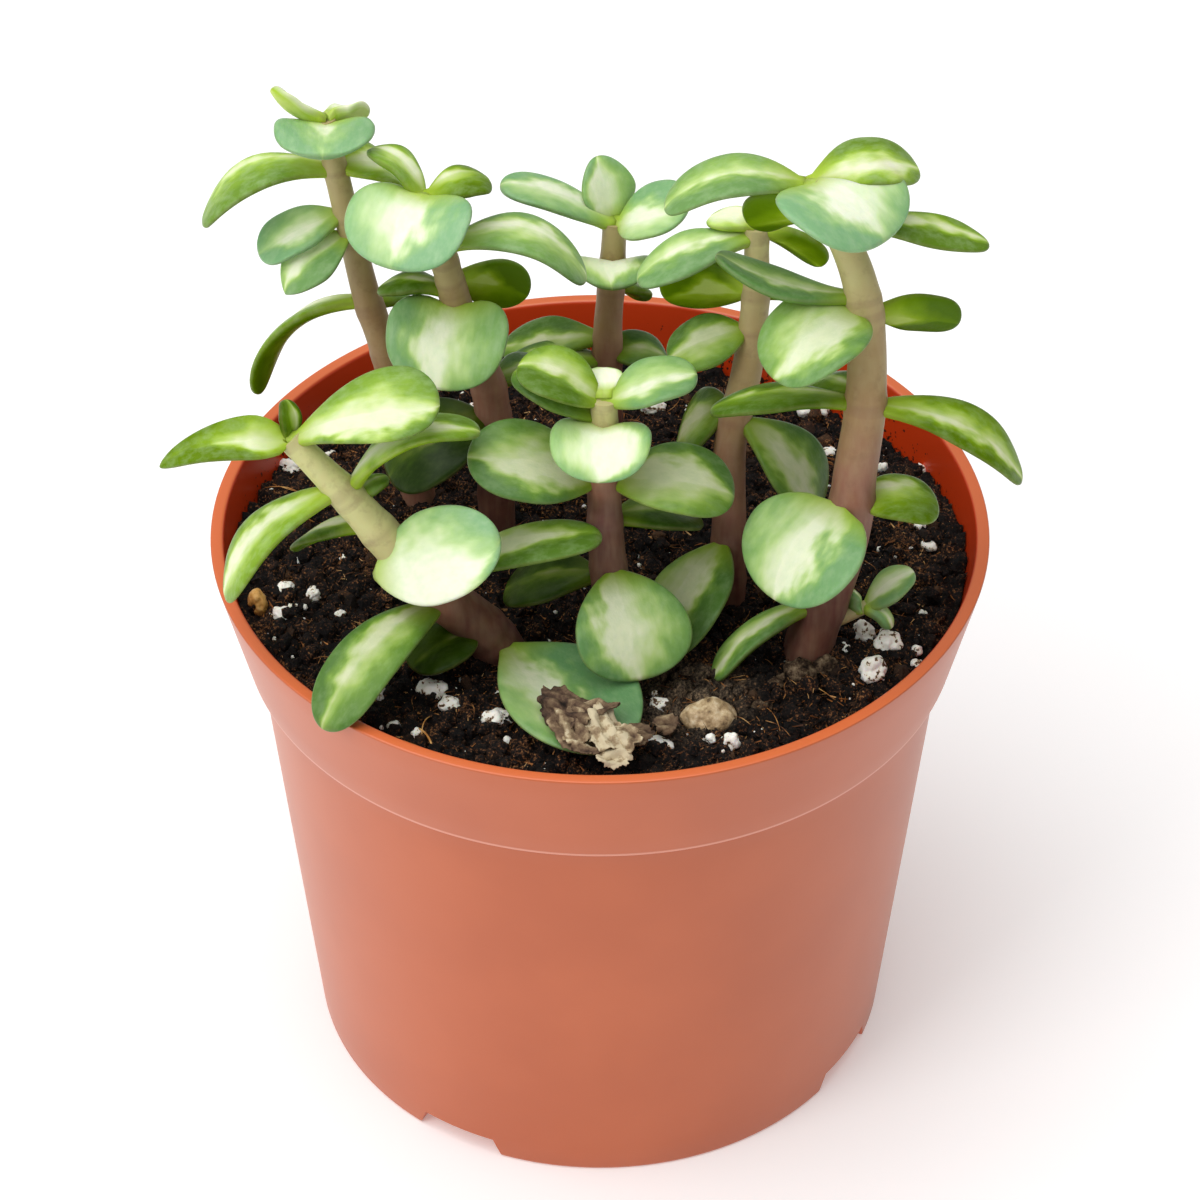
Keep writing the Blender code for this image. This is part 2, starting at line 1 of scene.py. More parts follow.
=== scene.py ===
# %% [markdown]
# # A potted elephant bush
# The real object is a young variegated succulent in a thin moulded nursery pot, 105 mm across
# the rim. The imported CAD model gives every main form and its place. This script keeps those
# forms and dresses them: fine fleshy leaves with their cream and mint markings, stems with leaf
# scars, a pot with soft edges, and soil made of crumbs, fibres and white perlite.

# %% Load the frame
import math
import random

import bmesh
import bpy
from mathutils import Matrix, Vector, noise


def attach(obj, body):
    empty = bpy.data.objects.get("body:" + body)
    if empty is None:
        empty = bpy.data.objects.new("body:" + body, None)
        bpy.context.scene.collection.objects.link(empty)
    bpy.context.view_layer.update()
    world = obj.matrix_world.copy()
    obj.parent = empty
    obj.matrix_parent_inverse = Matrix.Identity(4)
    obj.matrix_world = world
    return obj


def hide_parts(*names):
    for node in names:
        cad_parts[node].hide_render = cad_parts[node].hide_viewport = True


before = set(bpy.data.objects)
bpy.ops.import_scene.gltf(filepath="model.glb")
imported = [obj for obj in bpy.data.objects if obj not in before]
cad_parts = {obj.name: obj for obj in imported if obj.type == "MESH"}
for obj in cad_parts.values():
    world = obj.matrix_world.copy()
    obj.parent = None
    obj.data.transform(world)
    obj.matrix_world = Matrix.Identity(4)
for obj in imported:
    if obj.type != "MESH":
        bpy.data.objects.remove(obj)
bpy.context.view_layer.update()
MM = 0.001

# %% [markdown]
# The photograph looks down at the plant at about 40 degrees through a long lens. The camera was
# solved from the ellipses of the rim and of the collar, so the same place, turn and lens give the
# same picture. A long lens keeps the pot's sides from leaning too much.

# %% Camera
CAMERA_PLACE = (0, -0.4145, 0.4163)
CAMERA_TILT = 50.12
LENS = 118.1
camera_data = bpy.data.cameras.new("camera")
camera_data.lens = LENS
camera_data.sensor_width = 36
camera_data.clip_start = 0.01
camera = bpy.data.objects.new("camera", camera_data)
camera.location = CAMERA_PLACE
camera.rotation_euler = (math.radians(CAMERA_TILT), 0, 0)
bpy.context.scene.collection.objects.link(camera)
bpy.context.scene.camera = camera
print("camera", CAMERA_PLACE, "tilt", CAMERA_TILT)

# %% [markdown]
# Colours are written as sRGB hex, as a colour picker shows them, and the shader needs them
# linear. One function does that, and one adds a node with its settings and links, so that every
# material and every Geometry Nodes tree below reads as a list of what it is made of. A noise's
# scale counts its patches in a metre, so 1000 makes them a millimetre wide. Several finishes are
# a grain that one noise draws, in colour and mostly in relief too, and a third function makes
# those.

# %% Helpers for colours and nodes
def linear(colour):
    """Linear red, green, blue and alpha of six hex digits."""
    channels = []
    for i in (0, 2, 4):
        value = int(colour[i:i + 2], 16) / 255
        channels.append(value / 12.92 if value <= 0.04045 else ((value + 0.055) / 1.055) ** 2.4)
    return (*channels, 1.0)


def add_node(tree, kind, inputs=None, stops=None, **settings):
    """Add a node, set its settings, and give each input a value or another node's output."""
    node = tree.nodes.new(kind)
    for name, value in settings.items():
        setattr(node, name, value)
    for key, value in (inputs or {}).items():
        if isinstance(value, bpy.types.NodeSocket):
            tree.links.new(value, node.inputs[key])
        else:
            node.inputs[key].default_value = value
    if stops:
        elements = node.color_ramp.elements
        while len(elements) < len(stops):
            elements.new(1.0)
        for element, (position, colour) in zip(elements, stops):
            element.position = position
            element.color = linear(colour)
    return node


def start_material(name, roughness, ior=1.45):
    """A material with its node tree and its main shader."""
    material = bpy.data.materials.new(name)
    material.use_nodes = True
    tree = material.node_tree
    shader = tree.nodes["Principled BSDF"]
    shader.inputs["Roughness"].default_value = roughness
    shader.inputs["IOR"].default_value = ior
    return material, tree, shader


def grainy_material(name, roughness, scale, detail, contrast, stops, relief=None):
    """A material whose tone follows one noise, as its relief does if given a strength and depth."""
    material, tree, shader = start_material(name, roughness)
    place = add_node(tree, "ShaderNodeTexCoord")
    grain = add_node(tree, "ShaderNodeTexNoise", {
        "Vector": place.outputs["Object"], "Scale": scale, "Detail": detail, "Roughness": contrast})
    tone = add_node(tree, "ShaderNodeValToRGB", {0: grain.outputs[0]}, stops=stops)
    tree.links.new(tone.outputs[0], shader.inputs["Base Color"])
    if relief:
        bump = add_node(tree, "ShaderNodeBump", {
            "Strength": relief[0], "Distance": relief[1], "Height": grain.outputs[0]})
        tree.links.new(bump.outputs[0], shader.inputs["Normal"])
    return material, shader


print("terracotta as linear colour", linear("C4694A"))

# %% [markdown]
# A white sweep lit by a big soft box overhead is what a shop's photographer uses. Here that is a
# pale floor with a little light of its own, as a backlit sweep has, an even surround, one broad
# lamp overhead and a smaller one at the left front, so the right side of the pot falls off and
# the depths among the leaves stay dark. The standard view transform keeps the colours as bright
# as in the photograph.

# %% Floor and light
FLOOR_HALF = 3.0
FLOOR_GLOW = 0.2
SURROUND = 0.36
LAMP_AIM = Vector((0, 0, 0.08))
# place, size in metres and power in watts of each soft box
SOFT_BOXES = {
    "overhead_soft_box": ((-0.3, -0.1, 1.3), 1.5, 16.0),
    "left_soft_box": ((-0.9, -0.75, 0.85), 0.6, 4.6),
}

floor_mesh = bpy.data.meshes.new("floor")
corners = [(-FLOOR_HALF, -FLOOR_HALF, 0), (FLOOR_HALF, -FLOOR_HALF, 0), (FLOOR_HALF, FLOOR_HALF, 0),
           (-FLOOR_HALF, FLOOR_HALF, 0)]
floor_mesh.from_pydata(corners, [], [(0, 1, 2, 3)])
floor = bpy.data.objects.new("floor", floor_mesh)
bpy.context.scene.collection.objects.link(floor)
floor_paper, _, floor_shader = start_material("white_paper_sweep", 0.9)
floor_shader.inputs["Base Color"].default_value = linear("F6F6F6")
floor_shader.inputs["Specular IOR Level"].default_value = 0.2
floor_shader.inputs["Emission Color"].default_value = (1, 1, 1, 1)
floor_shader.inputs["Emission Strength"].default_value = FLOOR_GLOW
floor_mesh.materials.append(floor_paper)

world = bpy.data.worlds.new("studio")
world.use_nodes = True
world.node_tree.nodes["Background"].inputs["Color"].default_value = (1, 1, 1, 1)
world.node_tree.nodes["Background"].inputs["Strength"].default_value = SURROUND
bpy.context.scene.world = world
bpy.context.scene.view_settings.view_transform = "Standard"

for name, (lamp_place, lamp_size, power) in SOFT_BOXES.items():
    lamp_data = bpy.data.lights.new(name, "AREA")
    lamp_data.size = lamp_size
    lamp_data.energy = power
    lamp = bpy.data.objects.new(name, lamp_data)
    lamp.location = lamp_place
    aim = LAMP_AIM - Vector(lamp_place)
    lamp.rotation_euler = aim.to_track_quat("-Z", "Y").to_euler()
    bpy.context.scene.collection.objects.link(lamp)
print("surround", SURROUND, "soft boxes", len(SOFT_BOXES))

# %% [markdown]
# Every finished piece is a plain mesh whose object stays at the origin. These helpers make one from
# millimetres, join several bodies in one, turn the faces of a closed one outwards, keep values on its points
# for a material to read, and hang the piece on the one body while hiding the CAD nodes that it stands for.

# %% Helpers for pieces
SHARP_EDGE = 40         # an edge that bends more than this, in degrees, stays crisp


def make_piece(name, vertices, faces, material=None, sharp=SHARP_EDGE):
    """Mesh object from vertices in millimetres, smooth up to a sharp angle or, at 0, all over."""
    mesh = bpy.data.meshes.new(name)
    mesh.from_pydata([Vector(v) * MM for v in vertices], [], faces)
    mesh.shade_smooth()
    if sharp:
        mesh.set_sharp_from_angle(angle=math.radians(sharp))
    if material:
        mesh.materials.append(material)
    piece = bpy.data.objects.new(name, mesh)
    bpy.context.scene.collection.objects.link(piece)
    return piece


def add_body(vertices, faces, body):
    """Add a body's vertices and faces to the lists of a larger piece."""
    first = len(vertices)
    vertices += body[0]
    faces += [tuple(first + i for i in face) for face in body[1]]


def face_outwards(piece):
    """Turn the faces of a closed piece outwards."""
    fix = bmesh.new()
    fix.from_mesh(piece.data)
    bmesh.ops.recalc_face_normals(fix, faces=fix.faces)
    fix.to_mesh(piece.data)
    fix.free()


def keep_values(piece, label, values, kind="FLOAT"):
    """Keep a number, or a vector, on each point of a piece."""
    attribute = piece.data.attributes.new(label, kind, "POINT")
    attribute.data.foreach_set("value" if kind == "FLOAT" else "vector", values)


def apply_modifiers(piece):
    """Turn the evaluated piece into a plain mesh and drop its modifiers."""
    graph = bpy.context.evaluated_depsgraph_get()
    mesh = bpy.data.meshes.new_from_object(piece.evaluated_get(graph))
    piece.modifiers.clear()
    piece.data = mesh
    return piece


def finish_piece(piece, slot, *nodes):
    """Ride on the one body and stand for CAD nodes, which are hidden. The slot is not used."""
    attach(piece, "root")
    for node in nodes:
        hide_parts(node)
    piece.data.calc_loop_triangles()
    print(piece.name, len(piece.data.loop_triangles), "triangles")


def direction(turn):
    """Level unit vector for a turn in degrees, 0 to the front and 90 to the right."""
    angle = math.radians(turn)
    return Vector((math.sin(angle), -math.cos(angle), 0))


print("pieces are written in mm and kept in m")

# %% [markdown]
# The pot is injection moulded in one shot: a thin tapered wall, a wider collar that lets pots
# nest, a flat lip, and a foot ring with four notches for drainage. Its outline is turned round
# the axis, as a lathe would, with each corner rounded by a small arc, because moulded plastic has
# no sharp corners and the thin bright line on the lip comes from those arcs.

# %% Pot outline
POT_SIDES = 192
# radius, height and rounding of each corner of the outside, then of the inside
POT_CORNERS = [
    (0, 4.0, 0), (38.3, 4.0, 0.4), (38.3, 0, 0.3), (41.1, 0, 0.7), (47.2, 67.9, 0.25),
    (48.8, 67.9, 0.2), (52.5, 84.0, 0.35), (50.7, 84.0, 0.5), (47.5, 68.5, 1.0),
    (45.9, 66.9, 1.0), (39.8, 5.5, 1.2), (0, 5.5, 0),
]
ARC_STEPS = 4
LONGEST_STEP = 4.0      # in mm, along the straight runs of the outline


def rounded_outline(corners):
    """Radius and height along an outline whose corners are turned into short arcs."""
    points = [corners[0][:2]]
    for before, corner, after in zip(corners, corners[1:], corners[2:]):
        here = Vector(corner[:2])
        back = Vector(before[:2]) - here
        ahead = Vector(after[:2]) - here
        start = here + back.normalized() * min(corner[2], back.length / 2)
        end = here + ahead.normalized() * min(corner[2], ahead.length / 2)
        for k in range(ARC_STEPS + 1):
            t = k / ARC_STEPS
            point = start * (1 - t) ** 2 + here * 2 * t * (1 - t) + end * t ** 2
            points.append((point.x, point.y))
    points.append(corners[-1][:2])
    return points


def with_steps(points, longest):
    """The same outline with long straight runs divided."""
    out = [points[0]]
    for a, b in zip(points, points[1:]):
        parts = max(1, round(math.dist(a, b) / longest))
        for k in range(1, parts + 1):
            out.append((a[0] + (b[0] - a[0]) * k / parts, a[1] + (b[1] - a[1]) * k / parts))
    return out


pot_outline = with_steps(rounded_outline(POT_CORNERS), LONGEST_STEP)
print("pot outline has", len(pot_outline), "points")

# %% Turn the pot
def turned(outline, sides):
    """Vertices and faces of a turned body whose outline starts and ends on the axis."""
    vertices = [(0, 0, outline[0][1])]
    for radius, height in outline[1:-1]:
        for i in range(sides):
            angle = math.tau * i / sides
            vertices.append((radius * math.cos(angle), radius * math.sin(angle), height))
    vertices.append((0, 0, outline[-1][1]))
    faces = [(0, 1 + (i + 1) % sides, 1 + i) for i in range(sides)]
    for j in range(len(outline) - 3):
        for i in range(sides):
            a = 1 + j * sides + i
            b = 1 + j * sides + (i + 1) % sides
            faces.append((a, b, b + sides, a + sides))
    end = len(vertices) - 1
    faces += [(end - sides + i, end - sides + (i + 1) % sides, end) for i in range(sides)]
    return vertices, faces


pot = make_piece("nursery_pot_moulded", *turned(pot_outline, POT_SIDES))
print("pot", len(pot.data.vertices), "vertices")

# %% [markdown]
# Four notches in the foot ring and six holes in the floor let water out. A Boolean cuts them, as
# the mould's cores do. The notches flare a little towards the ground.

# %% Notches and drain holes
NOTCH_TURNS = (-29, 59, 150, 240)
NOTCH_HALF = 5.5
NOTCH_FLARE = 1.6
NOTCH_HEIGHT = 3.3
NOTCH_RADII = (30, 47)          # where a notch's cutter starts and ends
DRAIN_COUNT = 6
DRAIN_RADIUS = 3.5
DRAIN_CIRCLE = 24.0
DRAIN_SIDES = 32
DRAIN_HEIGHTS = (2, 7)          # where a hole's cutter starts and ends


def box_through(sections):
    """Closed body through rings of equal numbers of points."""
    count = len(sections[0])
    vertices = [point for ring in sections for point in ring]
    faces = []
    for j in range(len(sections) - 1):
        for i in range(count):
            a, b = j * count + i, j * count + (i + 1) % count
            faces.append((a, b, b + count, a + count))
    last = (len(sections) - 1) * count
    faces += [tuple(reversed(range(count))), tuple(range(last, last + count))]
    return vertices, faces


cutters = []
for turn in NOTCH_TURNS:
    out = direction(turn)
    across = Vector((-out.y, out.x, 0))
    sections = []
    for distance in NOTCH_RADII:
        ring = []
        for side, height in ((-1, -1), (1, -1), (1, NOTCH_HEIGHT), (-1, NOTCH_HEIGHT)):
            half = NOTCH_HALF + (NOTCH_FLARE if height < 0 else 0)
            ring.append(out * distance + across * side * half + Vector((0, 0, height)))
        sections.append(ring)
    cutters.append(make_piece("notch", *box_through(sections), sharp=0))
for index in range(DRAIN_COUNT):
    angle = math.tau * (index + 0.5) / DRAIN_COUNT
    middle = Vector((math.cos(angle), math.sin(angle), 0)) * DRAIN_CIRCLE
    sections = []
    for height in DRAIN_HEIGHTS:
        ring = []
        for i in range(DRAIN_SIDES):
            around = math.tau * i / DRAIN_SIDES
            x, y = math.cos(around) * DRAIN_RADIUS, math.sin(around) * DRAIN_RADIUS
            ring.append(middle + Vector((x, y, height)))
        sections.append(ring)
    cutters.append(make_piece("drain", *box_through(sections), sharp=0))

cutter_group = bpy.data.collections.new("cutters")
bpy.context.scene.collection.children.link(cutter_group)
for cutter in cutters:
    bpy.context.scene.collection.objects.unlink(cutter)
    cutter_group.objects.link(cutter)
    face_outwards(cutter)
cut = pot.modifiers.new("cut", "BOOLEAN")
cut.operation = "DIFFERENCE"
cut.operand_type = "COLLECTION"
cut.collection = cutter_group
cut.solver = "EXACT"
apply_modifiers(pot)
for cutter in cutters:
    bpy.data.objects.remove(cutter, do_unlink=True)
bpy.data.collections.remove(cutter_group)
pot.data.shade_smooth()
pot.data.set_sharp_from_angle(angle=math.radians(SHARP_EDGE))
print("pot after cutting", len(pot.data.polygons), "faces")

# %% [markdown]
# The pot is polypropylene coloured like terracotta. Moulding gives it a satin skin with a very fine grain,
# here drawn at half a millimetre so that it shows. The outside, the lip and the inside have a colour each,
# told apart by which way the surface faces, with a mottling 22 mm wide on the outside. The lip, facing up, is
# painted lighter, as painted light from above, and the inside a stronger orange, as painted light bounced
# from wall to wall. Specks of soil cling to the inner wall just above the surface. A thin painted highlight
# runs right round the pot on the collar's lower edge, where that edge catches the light.

# %% Pot material
COLLAR_EDGE = 0.06818       # height of the painted highlight on the collar's lower edge, in metres
pot_material, tree, shader = start_material("injection_moulded_terracotta_polypropylene", 0.38, 1.5)
place = add_node(tree, "ShaderNodeTexCoord")
surface = add_node(tree, "ShaderNodeNewGeometry")
flat_place = add_node(tree, "ShaderNodeVectorMath", {0: place.outputs["Object"], 1: (1, 1, 0)},
                      operation="MULTIPLY")
flat_place = add_node(tree, "ShaderNodeVectorMath", {0: flat_place.outputs[0]}, operation="NORMALIZE")
facing_out = add_node(tree, "ShaderNodeVectorMath", {0: surface.outputs["Normal"], 1: flat_place.outputs[0]},
                      operation="DOT_PRODUCT")
inner = add_node(tree, "ShaderNodeMapRange", {0: facing_out.outputs["Value"], 1: -0.4, 2: -0.8})
# painted light: faces that point up, the lip, are painted lighter than the outside
lip = add_node(tree, "ShaderNodeMapRange", {0: facing_out.outputs["Value"], 1: 0.85, 2: 0.4})
mottle = add_node(tree, "ShaderNodeTexNoise", {"Vector": place.outputs["Object"], "Scale": 45, "Detail": 3})
outer = add_node(tree, "ShaderNodeValToRGB", {0: mottle.outputs[0]},
                 stops=[(0.35, "BA5828"), (0.65, "C15E2E")])
colour = add_node(tree, "ShaderNodeMix", {0: lip.outputs[0], 6: outer.outputs[0], 7: linear("DA6C3A")},
                  data_type="RGBA")
# painted bounce light: the inner wall is painted a stronger orange
colour = add_node(tree, "ShaderNodeMix", {0: inner.outputs[0], 6: colour.outputs[2], 7: linear("CC3A08")},
                  data_type="RGBA")
dirt = add_node(tree, "ShaderNodeTexNoise", {"Vector": place.outputs["Object"], "Scale": 1500, "Detail": 2})
height = add_node(tree, "ShaderNodeSeparateXYZ", {0: place.outputs["Object"]})
near_soil = add_node(tree, "ShaderNodeMapRange", {0: height.outputs[2], 1: 0.076, 2: 0.082, 3: 0.2, 4: 0.0})
dirt = add_node(tree, "ShaderNodeMath", {0: dirt.outputs[0], 1: near_soil.outputs[0]})
dirt = add_node(tree, "ShaderNodeMapRange", {0: dirt.outputs[0], 1: 0.76, 2: 0.8})
dirt = add_node(tree, "ShaderNodeMath", {0: dirt.outputs[0], 1: inner.outputs[0]}, operation="MULTIPLY")
colour = add_node(tree, "ShaderNodeMix", {0: dirt.outputs[0], 6: colour.outputs[2], 7: linear("2A150C")},
                  data_type="RGBA")
# painted highlight: a thin pale line round the collar's lower edge, where the edge catches the light
from_edge = add_node(tree, "ShaderNodeMath", {0: height.outputs[2], 1: COLLAR_EDGE}, operation="SUBTRACT")
from_edge = add_node(tree, "ShaderNodeMath", {0: from_edge.outputs[0]}, operation="ABSOLUTE")
painted_highlight = add_node(tree, "ShaderNodeMapRange", {0: from_edge.outputs[0], 1: 0.0003, 2: 0.00016,
                                               3: 0.0, 4: 0.9})
outward = add_node(tree, "ShaderNodeMapRange", {0: facing_out.outputs["Value"], 1: 0.3, 2: 0.6})
painted_highlight = add_node(tree, "ShaderNodeMath", {0: painted_highlight.outputs[0], 1: outward.outputs[0]}, operation="MULTIPLY")
colour = add_node(tree, "ShaderNodeMix", {0: painted_highlight.outputs[0], 6: colour.outputs[2], 7: linear("DC9078")},
                  data_type="RGBA")
tree.links.new(colour.outputs[2], shader.inputs["Base Color"])
grain = add_node(tree, "ShaderNodeTexNoise", {"Vector": place.outputs["Object"],
                                              "Scale": 1800, "Detail": 2})
bump = add_node(tree, "ShaderNodeBump", {"Strength": 0.03, "Distance": 0.0002, "Height": grain.outputs[0]})
tree.links.new(bump.outputs[0], shader.inputs["Normal"])
shader.inputs["Coat Weight"].default_value = 0.2
shader.inputs["Coat Roughness"].default_value = 0.3
pot.data.materials.clear()
pot.data.materials.append(pot_material)
finish_piece(pot, "moulded_polypropylene", "nursery_pot")

# %% [markdown]
# The soil nearly fills the pot at the front and lies a little lower behind. Its surface follows
# the same slow lumps as the CAD solid, with three finer sizes of crumb pressed into it. A square
# grid is bent into a disc, so that all its faces stay about 0.4 millimetres wide, and its rim
# stands 0.3 mm off the pot's wall.

# %% Soil surface
SOIL_FRONT = 79.0
SOIL_DROP = 4.4
SOIL_SLOPE_LENGTH = 40.0
MOUND = (33.0, -27.0, 6.0, 1.3)     # x, y, reach and height of a low heap at the right front
# height and spacing in mm of the slow lumps and of the three sizes of crumb
LUMPS = (0.9, 7.0)
CLODS = (2.5, 3.4)
CRUMBS = (0.9, 1.3)
FINES = (0.6, 0.6)
SOIL_GRID = 250
INNER_WALL = ((5.5, 39.8), (66.9, 45.9), (68.5, 47.5), (83.3, 50.7))
WALL_GAP = 0.3
RIM_LEVEL = 77.0        # height at which the flat grid is as wide as the pot's inside


def soil_height(x, y):
    """The CAD soil's height at a place: level in front, lower behind, with slow lumps."""
    t = min(max(y / SOIL_SLOPE_LENGTH, 0), 1)
    level = SOIL_FRONT - SOIL_DROP * t * t * (3 - 2 * t)
    mound = MOUND[3] * math.exp(-((x - MOUND[0]) ** 2 + (y - MOUND[1]) ** 2) / MOUND[2] ** 2)
    return level + mound + LUMPS[0] * noise.noise(Vector((x, y, 0)) / LUMPS[1])


def wall_radius(height):
    """Radius of the pot's inner wall at a height."""
    for (low, r_low), (high, r_high) in zip(INNER_WALL, INNER_WALL[1:]):
        if height <= high:
            return r_low + (r_high - r_low) * (height - low) / (high - low)
    return INNER_WALL[-1][1]


def soil_point(x, y):
    """A point of the crumbly surface."""
    clods = CLODS[0] * (0.3 - abs(noise.noise(Vector((x, y, 3)) / CLODS[1])))
    crumbs = CRUMBS[0] * noise.noise(Vector((x, y, 8)) / CRUMBS[1])
    fines = FINES[0] * noise.noise(Vector((x, y, 5)) / FINES[1])
    return Vector((x, y, soil_height(x, y) + clods + crumbs + fines))


def disc_share(a, b):
    """Bend a point of the square from -1 to 1 into the unit disc."""
    if a == 0 and b == 0:
        return 0.0, 0.0
    if abs(a) > abs(b):
        angle = math.pi / 4 * b / a
        return a * math.cos(angle), a * math.sin(angle)
    angle = math.pi / 2 - math.pi / 4 * a / b
    return b * math.cos(angle), b * math.sin(angle)


soil_rim = wall_radius(RIM_LEVEL) - WALL_GAP
soil_vertices = []
for j in range(SOIL_GRID + 1):
    for i in range(SOIL_GRID + 1):
        x, y = disc_share(2 * i / SOIL_GRID - 1, 2 * j / SOIL_GRID - 1)
        point = soil_point(x * soil_rim, y * soil_rim)
        reach = math.hypot(point.x, point.y)
        if reach > soil_rim - 0.01:
            edge = wall_radius(point.z) - WALL_GAP
            point = Vector((point.x * edge / reach, point.y * edge / reach, point.z))
        soil_vertices.append(point)
row = SOIL_GRID + 1
soil_faces = []
for j in range(SOIL_GRID):
    for i in range(SOIL_GRID):
        a = j * row + i
        soil_faces.append((a, a + 1, a + row + 1, a + row))
print("soil surface", len(soil_faces), "faces")

# %% [markdown]
# That surface alone is a sheet with an open rim. Carrying the rim down the pot's wall in three
# rings, and closing the last with one face just above the floor, makes it a body. A copy of the
# upper faces, kept clear of the wall, is the bed that loose things are scattered on.

# %% Soil body down to the floor of the pot
SIDE_HEIGHTS = (68.5, 66.9, 5.8)    # the inner wall's two bends, then just above the floor
CRUMB_MARGIN = 1.0      # how far the crumbs and the fibres keep from the soil's rim, in mm
FIBRE_MARGIN = 4.5
border = list(range(row))
border += [j * row + SOIL_GRID for j in range(1, row)]
border += [SOIL_GRID * row + i for i in range(SOIL_GRID - 1, -1, -1)]
border += [j * row for j in range(SOIL_GRID - 1, 0, -1)]
top_count = len(soil_vertices)
ring_before = border
for height in SIDE_HEIGHTS:
    ring = []
    for index in border:
        point = soil_vertices[index]
        reach = wall_radius(height) - WALL_GAP
        across = Vector((point.x, point.y, 0)).normalized() * reach
        ring.append(len(soil_vertices))
        soil_vertices.append(Vector((across.x, across.y, height)))
    for k in range(len(border)):
        n = (k + 1) % len(border)
        soil_faces.append((ring_before[n], ring_before[k], ring[k], ring[n]))
    ring_before = ring
soil_faces.append(tuple(reversed(ring_before)))
soil = make_piece("peat_soil", soil_vertices, soil_faces, sharp=0)


def bed(name, margin):
    """The part of the surface that lies clear of the wall by a margin, to scatter things on."""
    faces = []
    for face in soil_faces[:SOIL_GRID * SOIL_GRID]:
        if all(math.hypot(soil_vertices[i].x, soil_vertices[i].y) < soil_rim - margin for i in face):
            faces.append(face)
    return make_piece(name, soil_vertices[:top_count], faces, sharp=0)


crumb_bed = bed("crumb_bed", CRUMB_MARGIN)
fibre_bed = bed("fibre_bed", FIBRE_MARGIN)
print("soil body", len(soil.data.polygons), "faces")

# %% [markdown]
# Peat is almost black when moist, with brown fibre in it and a soft sheen only where it is wet.
# Noise at two sizes, about 4 mm and 0.4 mm, mixes near black with dark brown and a few light
# flecks, and a strong bump breaks up the light. Round the tan stone the soil has dried to a grey
# brown crust, which is mixed in by the distance from its middle.

# %% Peat material
CRUST = (0.011, -0.031, 0.079)      # middle of the dry crust, in metres
peat, tree, shader = start_material("moist_sieved_peat", 0.75)
place = add_node(tree, "ShaderNodeTexCoord")
patches = add_node(tree, "ShaderNodeTexNoise", {"Vector": place.outputs["Object"],
                                                "Scale": 260, "Detail": 3})
flecks = add_node(tree, "ShaderNodeTexNoise", {"Vector": place.outputs["Object"],
                                               "Scale": 2600, "Detail": 3,
                                               "Roughness": 0.65})
mixed = add_node(tree, "ShaderNodeMath", {0: patches.outputs[0], 1: 0.45, 2: flecks.outputs[0]},
                 operation="MULTIPLY_ADD")
mixed = add_node(tree, "ShaderNodeMath", {0: mixed.outputs[0], 1: 0.225}, operation="SUBTRACT")
tone = add_node(tree, "ShaderNodeValToRGB", {0: mixed.outputs[0]},
                stops=[(0.42, "050303"), (0.52, "160E0A"), (0.59, "382317"), (0.66, "7A5030"),
                       (0.76, "B4824E")])
own_tone = add_node(tree, "ShaderNodeAttribute", attribute_name="grain_tone")
bright = add_node(tree, "ShaderNodeValToRGB", {0: own_tone.outputs["Fac"]},
                  stops=[(0.82, "000000"), (0.92, "1C120C"), (0.97, "3E2A1C"), (1.0, "5E442E")])
tone = add_node(tree, "ShaderNodeMix", {0: 1.0, 6: tone.outputs[0], 7: bright.outputs[0]}, data_type="RGBA",
                blend_type="LIGHTEN")
from_crust = add_node(tree, "ShaderNodeVectorMath", {0: place.outputs["Object"], 1: CRUST},
                      operation="DISTANCE")
crust = add_node(tree, "ShaderNodeMath", {0: patches.outputs[0], 1: 0.012, 2: from_crust.outputs["Value"]},
                 operation="MULTIPLY_ADD")
crust = add_node(tree, "ShaderNodeMapRange", {0: crust.outputs[0], 1: 0.016, 2: 0.011, 3: 0.0, 4: 0.75})
dust = add_node(tree, "ShaderNodeValToRGB", {0: mixed.outputs[0]},
                stops=[(0.38, "2A211A"), (0.55, "6A5A48"), (0.7, "9A876C")])
tone = add_node(tree, "ShaderNodeMix", {0: crust.outputs[0], 6: tone.outputs[2], 7: dust.outputs[0]},
                data_type="RGBA")
tree.links.new(tone.outputs[2], shader.inputs["Base Color"])
crumb = add_node(tree, "ShaderNodeTexNoise", {"Vector": place.outputs["Object"], "Scale": 2200, "Detail": 4,
                                              "Roughness": 0.7})
bump = add_node(tree, "ShaderNodeBump", {"Strength": 1.0, "Distance": 0.0006, "Height": crumb.outputs[0]})
tree.links.new(bump.outputs[0], shader.inputs["Normal"])
shader.inputs["Specular IOR Level"].default_value = 0.3
soil.data.materials.append(peat)
finish_piece(soil, "potting_mix", "potting_soil")

# %% [markdown]
# Thousands of loose crumbs lie on the soil. Geometry Nodes scatter points on the surface and put
# a twenty-sided grain on each, turned at random and of a random size, and a noise with patches
# 0.6 mm wide then pushes the corners about, so that no two look alike. Most are small, because
# the random number is raised to a power. Each keeps a random tone of its own, by which most are
# nearly black and a few brown or straw coloured. A fixed seed gives the same soil in each run.

# %% Tree for loose grains
def start_tree(name, sockets):
    """A Geometry Nodes tree with named inputs, and the identifiers of those inputs."""
    tree = bpy.data.node_groups.new(name, "GeometryNodeTree")
    tree.interface.new_socket("Geometry", in_out="INPUT", socket_type="NodeSocketGeometry")
    tree.interface.new_socket("Geometry", in_out="OUTPUT", socket_type="NodeSocketGeometry")
    keys = {}
    for label, (kind, default) in sockets.items():
        socket = tree.interface.new_socket(label, in_out="INPUT", socket_type=kind)
        if default is not None:
            socket.default_value = default
        keys[label] = socket.identifier
    return tree, keys


